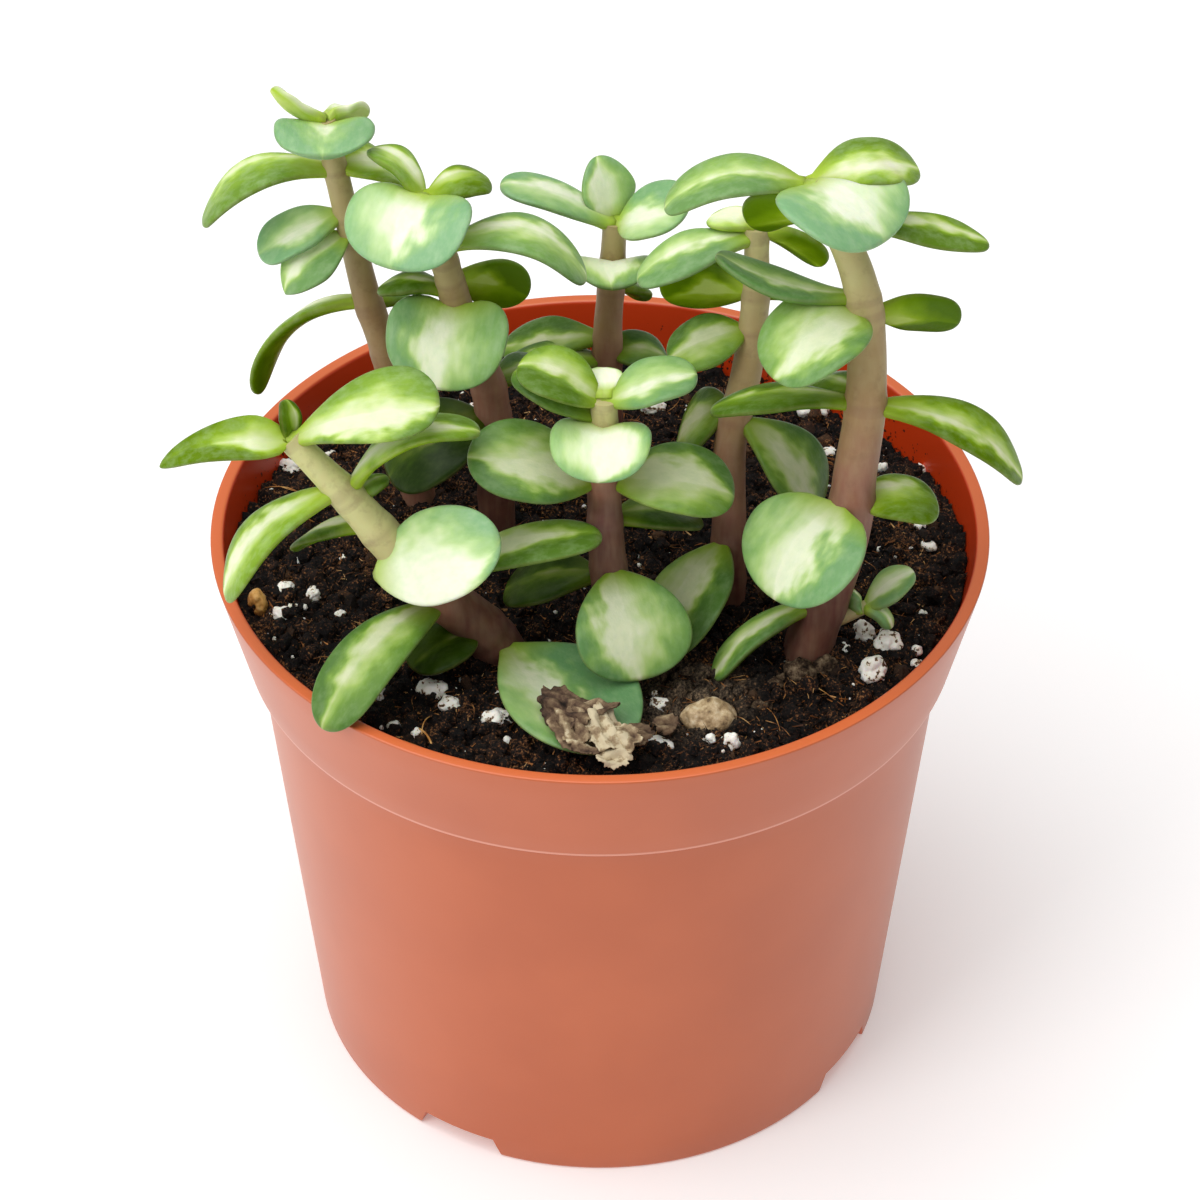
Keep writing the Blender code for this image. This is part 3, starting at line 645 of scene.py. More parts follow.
def loosen(tree, instances, seed):
    """Give each instance a random tone, and make the instances real."""
    own_tone = add_node(tree, "FunctionNodeRandomValue", {2: 0.0, 3: 1.0, "Seed": seed}, data_type="FLOAT")
    toned = add_node(tree, "GeometryNodeStoreNamedAttribute", {
        "Geometry": instances.outputs[0], "Name": "grain_tone", "Value": own_tone.outputs[1]},
        data_type="FLOAT", domain="INSTANCE")
    return add_node(tree, "GeometryNodeRealizeInstances", {0: toned.outputs[0]})


def close_tree(tree, start, last):
    """Paint what the last node made with the tree's material, and hand it out."""
    painted = add_node(tree, "GeometryNodeSetMaterial", {
        "Geometry": last.outputs[0], "Material": start.outputs["Material"]})
    add_node(tree, "NodeGroupOutput", {0: painted.outputs[0]})
    print(tree.name, len(tree.nodes), "nodes")


grain_tree, grain_keys = start_tree("loose_grains", {
    "Density": ("NodeSocketFloat", 900000.0),
    "Smallest": ("NodeSocketFloat", 0.0003),
    "Largest": ("NodeSocketFloat", 0.0010),
    "Flatness": ("NodeSocketFloat", 0.6),
    "Roughness": ("NodeSocketFloat", 0.0003),
    "Seed": ("NodeSocketInt", 1),
    "Material": ("NodeSocketMaterial", None),
})
start = add_node(grain_tree, "NodeGroupInput")
points = add_node(grain_tree, "GeometryNodeDistributePointsOnFaces", {
    "Mesh": start.outputs["Geometry"], "Density": start.outputs["Density"], "Seed": start.outputs["Seed"]})
ball = add_node(grain_tree, "GeometryNodeMeshIcoSphere", {"Radius": 1.0, "Subdivisions": 1})
spin = add_node(grain_tree, "FunctionNodeRandomValue", {
    0: (0, 0, 0), 1: (math.tau, math.tau, math.tau), "Seed": start.outputs["Seed"]}, data_type="FLOAT_VECTOR")
size = add_node(grain_tree, "FunctionNodeRandomValue", {
    2: 0.0, 3: 1.0, "Seed": start.outputs["Seed"]}, data_type="FLOAT")
size = add_node(grain_tree, "ShaderNodeMath", {0: size.outputs[1], 1: 4.0}, operation="POWER")
size = add_node(grain_tree, "ShaderNodeMapRange", {
    0: size.outputs[0], 3: start.outputs["Smallest"], 4: start.outputs["Largest"]})
flat = add_node(grain_tree, "ShaderNodeCombineXYZ", {0: 1.0, 1: 0.8, 2: start.outputs["Flatness"]})
scale = add_node(grain_tree, "ShaderNodeVectorMath", {0: flat.outputs[0], "Scale": size.outputs[0]},
                 operation="SCALE")
grains = add_node(grain_tree, "GeometryNodeInstanceOnPoints", {
    "Points": points.outputs[0], "Instance": ball.outputs[0], "Rotation": spin.outputs[0],
    "Scale": scale.outputs[0]})
loose = loosen(grain_tree, grains, 77)
wobble = add_node(grain_tree, "ShaderNodeTexNoise", {"Scale": 1700.0, "Detail": 1.0})
push = add_node(grain_tree, "ShaderNodeVectorMath", {0: wobble.outputs["Color"], 1: (0.5, 0.5, 0.5)},
                operation="SUBTRACT")
push = add_node(grain_tree, "ShaderNodeVectorMath", {0: push.outputs[0], "Scale": start.outputs["Roughness"]},
                operation="SCALE")
rough = add_node(grain_tree, "GeometryNodeSetPosition", {
    "Geometry": loose.outputs[0], "Offset": push.outputs[0]})
close_tree(grain_tree, start, rough)

# %% Scatter the crumbs
def grow(name, ground, tree, keys, values):
    """Run a tree on a copy of the ground and keep the result as a plain mesh."""
    piece = bpy.data.objects.new(name, ground.data.copy())
    bpy.context.scene.collection.objects.link(piece)
    modifier = piece.modifiers.new(name, "NODES")
    modifier.node_group = tree
    for label, value in values.items():
        modifier[keys[label]] = value
    return apply_modifiers(piece)


crumbs = grow("peat_crumbs", crumb_bed, grain_tree, grain_keys, {
    "Density": 840000.0, "Smallest": 0.00024, "Largest": 0.0018, "Flatness": 0.75, "Roughness": 0.0013,
    "Seed": 11, "Material": peat})
finish_piece(crumbs, "potting_mix")

# %% [markdown]
# Splinters of bark and peat fibre give the mix its orange brown glitter. Each is a narrow
# three-sided cone, 0.3 to 1.5 mm long, lying nearly flat at a random turn.
# A random tone on each makes half of them dark and the rest brown, orange brown or straw.

# %% Tree for splinters
splinter_tree, splinter_keys = start_tree("bark_splinters", {
    "Density": ("NodeSocketFloat", 1000000.0),
    "Shortest": ("NodeSocketFloat", 0.0003),
    "Longest": ("NodeSocketFloat", 0.0014),
    "Seed": ("NodeSocketInt", 21),
    "Material": ("NodeSocketMaterial", None),
})
start = add_node(splinter_tree, "NodeGroupInput")
points = add_node(splinter_tree, "GeometryNodeDistributePointsOnFaces", {
    "Mesh": start.outputs["Geometry"], "Density": start.outputs["Density"], "Seed": start.outputs["Seed"]})
splinter = add_node(splinter_tree, "GeometryNodeMeshCone", {
    "Vertices": 3, "Radius Top": 0.03, "Radius Bottom": 0.12, "Depth": 1.0}, fill_type="NGON")
spin = add_node(splinter_tree, "FunctionNodeRandomValue", {
    0: (1.1, -0.4, 0), 1: (2.0, 0.4, math.tau), "Seed": start.outputs["Seed"]}, data_type="FLOAT_VECTOR")
size = add_node(splinter_tree, "FunctionNodeRandomValue", {2: 0.0, 3: 1.0, "Seed": 22}, data_type="FLOAT")
size = add_node(splinter_tree, "ShaderNodeMath", {0: size.outputs[1], 1: 2.5}, operation="POWER")
size = add_node(splinter_tree, "ShaderNodeMapRange", {
    0: size.outputs[0], 3: start.outputs["Shortest"], 4: start.outputs["Longest"]})
splinters = add_node(splinter_tree, "GeometryNodeInstanceOnPoints", {
    "Points": points.outputs[0], "Instance": splinter.outputs[0], "Rotation": spin.outputs[0],
    "Scale": size.outputs[0]})
close_tree(splinter_tree, start, loosen(splinter_tree, splinters, 78))

# %% Scatter the splinters
bark_bits, tree, shader = start_material("composted_pine_bark_splinters", 0.7)
own_tone = add_node(tree, "ShaderNodeAttribute", attribute_name="grain_tone")
tone = add_node(tree, "ShaderNodeValToRGB", {0: own_tone.outputs["Fac"]},
                stops=[(0.0, "080504"), (0.45, "1A100A"), (0.62, "4C2C17"), (0.8, "8E5628"), (0.92, "B87C44"),
                       (1.0, "DCB47C")])
tree.links.new(tone.outputs[0], shader.inputs["Base Color"])
shader.inputs["Specular IOR Level"].default_value = 0.3
bark = grow("bark_splinters", crumb_bed, splinter_tree, splinter_keys, {
    "Density": 1900000.0, "Shortest": 0.0003, "Longest": 0.0015, "Seed": 21, "Material": bark_bits})
finish_piece(bark, "potting_mix")

# %% [markdown]
# Tiny white specks of crushed perlite sparkle between the crumbs. They use the crumbs' tree with
# another size, density and material. Perlite is glass puffed up by heat, so it is white and dull,
# with brown pits about a millimetre apart where soil has settled in it, and light enters it a
# little way.

# %% White specks
perlite, shader = grainy_material(
    "expanded_perlite", 0.85, 1100, 3, 0.55,
    [(0.37, "4E3420"), (0.395, "A89070"), (0.43, "F4F0E4"), (0.7, "FFFDF6")], (0.35, 0.0004))
shader.inputs["Subsurface Weight"].default_value = 0.1
shader.inputs["Subsurface Scale"].default_value = 0.001
specks = grow("perlite_specks", crumb_bed, grain_tree, grain_keys, {
    "Density": 60000.0, "Smallest": 0.0001, "Largest": 0.00055, "Flatness": 0.8, "Roughness": 0.0003,
    "Seed": 5, "Material": perlite})
finish_piece(specks, "perlite")

# %% [markdown]
# Brown coir fibres lie among the crumbs, one to four millimetres long and as thin as a hair.
# Each starts as a short bent curve, which noise curls further, and Curve to Mesh sweeps a profile
# of three sides along it, the cheapest tube there is.

# %% Tree for fibres
fibre_tree, fibre_keys = start_tree("plant_fibres", {
    "Density": ("NodeSocketFloat", 150000.0),
    "Shortest": ("NodeSocketFloat", 0.0015),
    "Longest": ("NodeSocketFloat", 0.008),
    "Thickness": ("NodeSocketFloat", 0.00012),
    "Curl": ("NodeSocketFloat", 0.003),
    "Seed": ("NodeSocketInt", 3),
    "Material": ("NodeSocketMaterial", None),
})
start = add_node(fibre_tree, "NodeGroupInput")
points = add_node(fibre_tree, "GeometryNodeDistributePointsOnFaces", {
    "Mesh": start.outputs["Geometry"], "Density": start.outputs["Density"], "Seed": start.outputs["Seed"]})
strand = add_node(fibre_tree, "GeometryNodeCurveQuadraticBezier", {
    "Resolution": 6, "Start": (-0.5, 0, 0), "Middle": (0, 0.15, 0.12), "End": (0.5, 0, 0)})
spin = add_node(fibre_tree, "FunctionNodeRandomValue", {
    0: (-0.25, -0.25, 0), 1: (0.25, 0.25, math.tau), "Seed": start.outputs["Seed"]}, data_type="FLOAT_VECTOR")
size = add_node(fibre_tree, "FunctionNodeRandomValue", {
    2: start.outputs["Shortest"], 3: start.outputs["Longest"], "Seed": start.outputs["Seed"]},
    data_type="FLOAT")
strands = add_node(fibre_tree, "GeometryNodeInstanceOnPoints", {
    "Points": points.outputs[0], "Instance": strand.outputs[0], "Rotation": spin.outputs[0],
    "Scale": size.outputs[1]})
loose = add_node(fibre_tree, "GeometryNodeRealizeInstances", {0: strands.outputs[0]})
wobble = add_node(fibre_tree, "ShaderNodeTexNoise", {"Scale": 260.0, "Detail": 1.0})
push = add_node(fibre_tree, "ShaderNodeVectorMath", {0: wobble.outputs["Color"], 1: (0.5, 0.5, 0.42)},
                operation="SUBTRACT")
push = add_node(fibre_tree, "ShaderNodeVectorMath", {0: push.outputs[0], "Scale": start.outputs["Curl"]},
                operation="SCALE")
curled = add_node(fibre_tree, "GeometryNodeSetPosition", {
    "Geometry": loose.outputs[0], "Offset": push.outputs[0]})
profile = add_node(fibre_tree, "GeometryNodeCurvePrimitiveCircle", {
    "Resolution": 3, "Radius": start.outputs["Thickness"]}, mode="RADIUS")
tube = add_node(fibre_tree, "GeometryNodeCurveToMesh", {
    "Curve": curled.outputs[0], "Profile Curve": profile.outputs[0], "Fill Caps": True})
whole = add_node(fibre_tree, "GeometryNodeRealizeInstances", {0: tube.outputs[0]})
close_tree(fibre_tree, start, whole)

# %% Scatter the fibres
coir, _ = grainy_material("dry_coir_fibre", 0.8, 420, 2, 0.5,
                          [(0.38, "24150D"), (0.5, "5E381E"), (0.6, "A06C3A"), (0.7, "CCA066")])
fibres = grow("coir_fibres", fibre_bed, fibre_tree, fibre_keys, {
    "Density": 150000.0, "Shortest": 0.001, "Longest": 0.0042, "Thickness": 0.00006, "Curl": 0.0016,
    "Seed": 3, "Material": coir})
finish_piece(fibres, "plant_fibre")

# %% [markdown]
# A few longer straws and roots can be told apart, at the left, at the front and at the right.
# Each is a bent tube of six sides from one end to the other, lying just on the crumbs.

# %% Straws and roots
# first end, last end, bend to the side, and thickness in mm
STRAWS = [
    ((-23.4, -37.3), (-21.2, -43.0), 0.5, 0.3), ((-25.1, -39.9), (-21.0, -42.8), -0.4, 0.22),
    ((-22.8, -39.0), (-21.9, -35.2), 0.3, 0.16), ((-46.4, 13.7), (-39.6, 9.6), 1.3, 0.13),
    ((-45.4, 14.6), (-40.3, 12.4), -0.7, 0.1), ((28.0, -30.6), (31.4, -33.8), -0.4, 0.1),
    ((21.0, -32.8), (23.1, -38.2), 0.3, 0.1), ((39.0, -25.4), (38.4, -28.0), 0.6, 0.1),
]
STRAW_STEPS = 9
STRAW_SIDES = 6
STRAW_LIFT = 0.9        # height of a straw's ends above the soil's slow lumps, in mm
STRAW_HUMP = 0.5        # how much higher its middle is
straw_vertices = []
straw_faces = []
for first_end, last_end, bend, thick in STRAWS:
    run = Vector((last_end[0] - first_end[0], last_end[1] - first_end[1], 0))
    side = Vector((-run.y, run.x, 0)).normalized()
    sections = []
    for k in range(STRAW_STEPS):
        t = k / (STRAW_STEPS - 1)
        place = Vector((*first_end, 0)) + run * t + side * bend * 4 * t * (1 - t)
        place.z = soil_height(place.x, place.y) + STRAW_LIFT + STRAW_HUMP * math.sin(math.pi * t)
        ring = []
        for i in range(STRAW_SIDES):
            angle = math.tau * i / STRAW_SIDES
            ring.append(place + (side * math.cos(angle) + Vector((0, 0, math.sin(angle)))) * thick / 2)
        sections.append(ring)
    add_body(straw_vertices, straw_faces, box_through(sections))
straw, _ = grainy_material("dry_straw", 0.55, 500, 2, 0.5,
                           [(0.35, "7A4A1E"), (0.5, "B87C3A"), (0.65, "DCAE6A")])
straws = make_piece("straws_and_roots", straw_vertices, straw_faces, straw, sharp=0)
face_outwards(straws)
finish_piece(straws, "plant_fibre")

# %% [markdown]
# The white grains that show one by one are puffed perlite. Each is a rounded froth of glass with
# a few brown pits, so its ball is pushed out only a little. They lie sunk in the soil where the
# CAD solid and the photograph have them, each with its own width and height. A large grain gets
# a finer ball than a small one, and the place of each decides its turn.

# %% Perlite grains
# x, y, width and height of each grain
PERLITE_GRAINS = [
    (34.7, -19.0, 3.2, 4.2), (37.9, -21.3, 3.9, 3.4), (31.9, -22.1, 2.0, 2.0), (35.4, -27.7, 4.0, 4.4),
    (41.6, -22.1, 1.7, 1.9), (41.4, -24.8, 1.7, 1.6), (29.4, 35.4, 2.4, 2.0), (31.8, 35.2, 2.4, 2.0),
    (39.6, 20.0, 1.8, 2.6), (44.8, 19.5, 1.9, 2.0), (27.3, 30.9, 1.4, 1.4), (32.4, 24.3, 2.8, 1.8),
    (44.6, 0.2, 2.6, 1.5), (43.6, 3.6, 1.6, 2.0), (-43.2, 20.4, 3.9, 2.4), (7.6, 36.7, 4.2, 2.6),
    (12.8, 36.2, 1.3, 1.0), (-41.2, -2.6, 1.8, 1.4), (-34.7, -2.6, 1.4, 1.4), (-42.0, -9.3, 2.4, 2.2),
    (-38.2, -10.8, 2.2, 2.8), (-42.2, -14.5, 2.6, 2.2), (-34.5, -14.3, 1.6, 1.4), (-27.4, -24.5, 2.6, 3.2),
    (-28.9, -30.7, 2.8, 2.6), (-21.8, -29.7, 4.0, 3.2), (-19.3, -32.6, 3.2, 2.6), (-12.7, -30.7, 1.8, 1.6),
    (-13.1, -35.1, 4.6, 2.6), (-11.9, -38.6, 1.2, 1.0), (-26.5, -36.3, 2.0, 1.4), (-23.5, -38.2, 1.5, 2.2),
    (14.2, -39.4, 1.5, 1.5), (7.8, -40.0, 3.6, 1.8), (16.9, -40.6, 2.2, 3.2), (7.6, -33.0, 2.6, 2.2),
    (43.4, -17.4, 0.9, 0.9), (42.8, -13.5, 0.9, 0.8), (-6, 40, 2.8, 2.2), (-30, 30, 2.6, 2.0),
    (20, 40, 2.2, 1.8), (-18, 38, 1.8, 1.6), (-38, 24, 1.6, 1.4), (3, 30, 1.6, 1.4),
]


LUMP = 1.6              # how strongly large and small lumps swell a ball, as shares of the depth
SMALL_LUMP = 0.5
PIT_START = 0.25        # noise at which a pit starts, and how much more makes it full depth
PIT_EDGE = 0.08


def lumpy_ball(centre, half_size, turn, subdivisions, lump, depth, pit):
    """Vertices and faces of a ball that swells in lumps of a given width and is dented by pits."""
    ball = bmesh.new()
    bmesh.ops.create_icosphere(ball, subdivisions=subdivisions, radius=1)
    spin = Matrix.Rotation(math.radians(turn), 3, "Z")
    vertices = []
    for vertex in ball.verts:
        base = Vector([a * b for a, b in zip(vertex.co, half_size)])
        place = (base + Vector(centre)) / lump
        swell = depth * LUMP * noise.noise(place) + depth * SMALL_LUMP * noise.noise(place * 2.3)
        dent = pit * min(max(noise.noise(place * 2.4 + Vector((9, 9, 9))) - PIT_START, 0) / PIT_EDGE, 1)
        vertices.append(Vector(centre) + spin @ (base + vertex.co * (swell - dent)))
    faces = [tuple(v.index for v in face.verts) for face in ball.faces]
    ball.free()
    return vertices, faces


GRAIN_RISE = 0.28       # height of a grain's middle above the soil, as a share of its own
LARGE_GRAIN = 2.0       # in mm
grain_vertices = []
grain_faces = []
for x, y, width, height in PERLITE_GRAINS:
    size = min(width, height)
    centre = (x, y, soil_height(x, y) + height * GRAIN_RISE)
    half = (width * 0.48, min(width, 1.2 * size) * 0.45, height * 0.44)
    fineness = 4 if size > LARGE_GRAIN else 3
    add_body(grain_vertices, grain_faces,
             lumpy_ball(centre, half, 25 * math.sin(7 * x), fineness, size * 0.42, size * 0.11, size * 0.07))
perlite_grains = make_piece("perlite_grains", grain_vertices, grain_faces, perlite, sharp=0)
finish_piece(perlite_grains, "perlite")

# %% [markdown]
# At the foot of the thick stem the mix has dried into a few grey brown clods. They are the same
# lumpy balls with a rougher skin, in the dust colours of the crust with a grit of one millimetre.

# %% Dry clods
dry_peat, shader = grainy_material(
    "sun_dried_peat_clod", 0.95, 900, 5, 0.7,
    [(0.36, "1C130D"), (0.48, "4A3A2C"), (0.6, "7C6A54"), (0.72, "A08E74")], (0.8, 0.0005))
shader.inputs["Specular IOR Level"].default_value = 0.2
# x, y, width and height of each clod
DRY_CLODS = [
    (26.2, -26.6, 4.4, 3.4), (29.6, -25.9, 3.4, 2.8), (23.0, -28.0, 2.8, 1.8), (20.6, -32.6, 3.4, 1.6),
    (5.0, -36.4, 2.6, 1.8), (18.6, -29.4, 2.4, 1.4), (9.8, -29.8, 2.6, 1.2),
]
STONE_RISE = 0.2        # height of a clod's or stone's middle above the soil, as a share of its own
clod_vertices = []
clod_faces = []
for x, y, width, height in DRY_CLODS:
    centre = (x, y, soil_height(x, y) + height * STONE_RISE)
    half = (width / 2, width * 0.4, height / 2)
    add_body(clod_vertices, clod_faces,
             lumpy_ball(centre, half, 40 * math.sin(5 * x), 4, width * 0.28, 0.36, 0.2))
clods = make_piece("dry_peat_clods", clod_vertices, clod_faces, dry_peat, sharp=0)
finish_piece(clods, "potting_mix")

# %% [markdown]
# Two small stones lie at the front and at the left. They are water-worn, so their balls are
# pushed out gently, and the colours come from the photograph: a tan one and an amber one, each
# with a grain of a millimetre and a half.

# %% Stones
# x, y, length, width, height and turn of each stone, its name and finish, and its colours
STONES = {
    "tan_stone": ((14, -35.5, 7.4, 5.0, 4.6, 10), "river_worn_tan_limestone", "tan_mineral",
                  [(0.32, "5E4A34"), (0.44, "A48A64"), (0.56, "C8B08A"), (0.7, "E2D4B4")]),
    "amber_stone": ((-45.6, -12.2, 3.4, 2.6, 4, 105), "river_worn_amber_quartz", "amber_mineral",
                    [(0.3, "9A6A34"), (0.5, "CD9B50"), (0.7, "E2BE84")]),
}
for node, ((x, y, length, width, height, turn), name, slot, stops) in STONES.items():
    material, _ = grainy_material(name, 0.6, 700, 5, 0.65, stops, (0.5, 0.0003))
    centre = (x, y, soil_height(x, y) + height * STONE_RISE)
    half = (length / 2, width / 2, height / 2)
    vertices, faces = lumpy_ball(centre, half, turn, 5, length * 0.4, 0.09 * width, 0.03 * width)
    stone = make_piece(node + "_worn", vertices, faces, material, sharp=0)
    finish_piece(stone, slot, node)

# %% [markdown]
# A dried leaf lies crumpled and torn on the tip of the lowest leaf. It has come apart in thin
# shreds. Crumpled paper is flat between straight creases, so each shred is a grid bent round a
# curl, folded by four sets of straight creases and torn at its edge. Most of the creases run
# lengthwise. The dark shreds lie behind and the bleached ones in front.

# %% Dried leaf
# middle, length, width, turn, tilt and roll in degrees, curl radius and paleness of each shred
SHREDS = [
    (-4.3, -39.6, 85.2, 8.6, 4.8, -38, -2, 12, 2.5, 0.1),
    (-0.6, -39.9, 85.2, 5.6, 3.4, -8, -6, -22, 2.0, 0.2),
    (-3.6, -42.9, 84.4, 6.2, 3.6, -58, 12, 22, 2.4, 0.45),
    (0.5, -43.0, 84.6, 6.4, 4.2, -68, 20, -14, 2.2, 0.9),
    (2.8, -43.8, 83.8, 5.4, 3.2, -32, -5, 25, 2.0, 0.7),
    (-2.2, -45.2, 83.2, 5.2, 3.0, -20, 5, -20, 2.6, 0.5),
    (1.7, -46.4, 82.6, 4.6, 3.0, 15, 8, 10, 2.8, 1.1),
    (5.0, -42.2, 82.6, 4.4, 2.8, -36, -12, 20, 2.4, 0.3),
    (8.2, -38.9, 81.4, 3.4, 2.2, 22, 6, 12, 2.0, 0.25),
]
# direction across the creases, in degrees from the shred's length, and their spacing and height
CREASES = [(90, 1.3, 0.55), (70, 2.1, 0.5), (108, 0.8, 0.16), (18, 3.4, 0.25)]
CREASE_SWAY = 14        # how far the creases of a shred are turned at most, in degrees
TEARS = (0.26, 0.12)    # how deep the large and the small tears go, as a share of the shred
MEAN_FOLD = 0.75        # height of the fold that keeps its shred's tone, in mm
FOLD_LIGHT_AND_SHADE = 0.35   # how far the folds, as painted light and shade, and the patches take the tone from the shred's own
PATCH_PALENESS = 0.45
SHRED_LONG = 44         # faces along and across a shred
SHRED_WIDE = 40
husk_vertices = []
husk_faces = []
husk_pale = []
for number, (x, y, z, length, width, turn, tilt, roll, curl, pale) in enumerate(SHREDS):
    spin = (Matrix.Rotation(math.radians(turn), 3, "Z") @ Matrix.Rotation(math.radians(tilt), 3, "Y")
            @ Matrix.Rotation(math.radians(roll), 3, "X"))
    first = len(husk_vertices)
    for j in range(SHRED_WIDE + 1):
        for i in range(SHRED_LONG + 1):
            a, b = disc_share(2 * i / SHRED_LONG - 1, 2 * j / SHRED_WIDE - 1)
            around = Vector((math.cos(math.atan2(b, a)), math.sin(math.atan2(b, a)), number))
            torn = 1 + TEARS[0] * noise.noise(around * 2.5) + TEARS[1] * noise.noise(around * 7)
            flat = Vector((a * length * torn / 2, b * width * torn / 2, number * 3))
            fold = 0
            for crease, spacing, rise in CREASES:
                heading = math.radians(crease + CREASE_SWAY * math.sin(3 * number))
                step = (flat.x * math.cos(heading) + flat.y * math.sin(heading)) / spacing + 0.37 * number
                step += 0.25 * noise.noise(flat / 2.0)
                fold += rise * 2 * abs(step - round(step))
            angle = flat.y / curl
            place = Vector((flat.x, curl * math.sin(angle), curl * (math.cos(angle) - 1)))
            place += Vector((0, math.sin(angle), math.cos(angle))) * fold
            husk_vertices.append(Vector((x, y, z)) + spin @ place)
            # painted light and shade: the crests of the folds lighter, the hollows darker
            fold_light_and_patches = FOLD_LIGHT_AND_SHADE * (fold / MEAN_FOLD - 1) + PATCH_PALENESS * noise.noise(flat / 1.2)
            husk_pale.append(pale + fold_light_and_patches)
    row = SHRED_LONG + 1
    for j in range(SHRED_WIDE):
        for i in range(SHRED_LONG):
            a = first + j * row + i
            husk_faces.append((a, a + 1, a + row + 1, a + row))
print("husk", len(SHREDS), "shreds", len(husk_faces), "faces")

# %% [markdown]
# Dry leaf tissue is dull and brittle. Its tone goes with how pale the shred is and with how high the fold
# stands, as painted light and shade, the crests lighter and the hollows darker, and patches of a millimetre
# vary it. Solidify gives the sheet a thickness.

# %% Dried leaf material
SHRED_THICKNESS = 0.18      # in mm
husk_material, tree, shader = start_material("withered_leaf", 0.9)
place = add_node(tree, "ShaderNodeTexCoord")
patches = add_node(tree, "ShaderNodeTexNoise", {"Vector": place.outputs["Object"],
                                                "Scale": 900, "Detail": 5, "Roughness": 0.65})
paleness = add_node(tree, "ShaderNodeAttribute", attribute_name="paleness")
paleness = add_node(tree, "ShaderNodeMath", {0: paleness.outputs["Fac"], 1: 0.55, 2: patches.outputs[0]},
                    operation="MULTIPLY_ADD")
tone = add_node(tree, "ShaderNodeValToRGB", {0: paleness.outputs[0]},
                stops=[(0.34, "1E130C"), (0.54, "4E392B"), (0.74, "78624A"), (0.92, "A89474"),
                       (1.0, "CCBE9E")])
tree.links.new(tone.outputs[0], shader.inputs["Base Color"])
bump = add_node(tree, "ShaderNodeBump", {"Strength": 0.5, "Distance": 0.0002, "Height": patches.outputs[0]})
tree.links.new(bump.outputs[0], shader.inputs["Normal"])
husk = make_piece("withered_leaf", husk_vertices, husk_faces, husk_material, sharp=0)
keep_values(husk, "paleness", husk_pale)
sheet = husk.modifiers.new("thickness", "SOLIDIFY")
sheet.thickness = SHRED_THICKNESS * MM
sheet.offset = 0
apply_modifiers(husk)
finish_piece(husk, "dry_leaf", "dried_leaf_husk")

# %% [markdown]
# Seven stems and a side shoot carry the leaves. The table follows the CAD's, with a few leaves
# fitted closer to the photograph: a path of x, y, z and radius for each stem, and for each leaf
# its height on the stem, its turn and lift, length, width, arch, roll and the rise of its edges.
# Two rows end with where the leaf starts, measured from the middle of the stem.

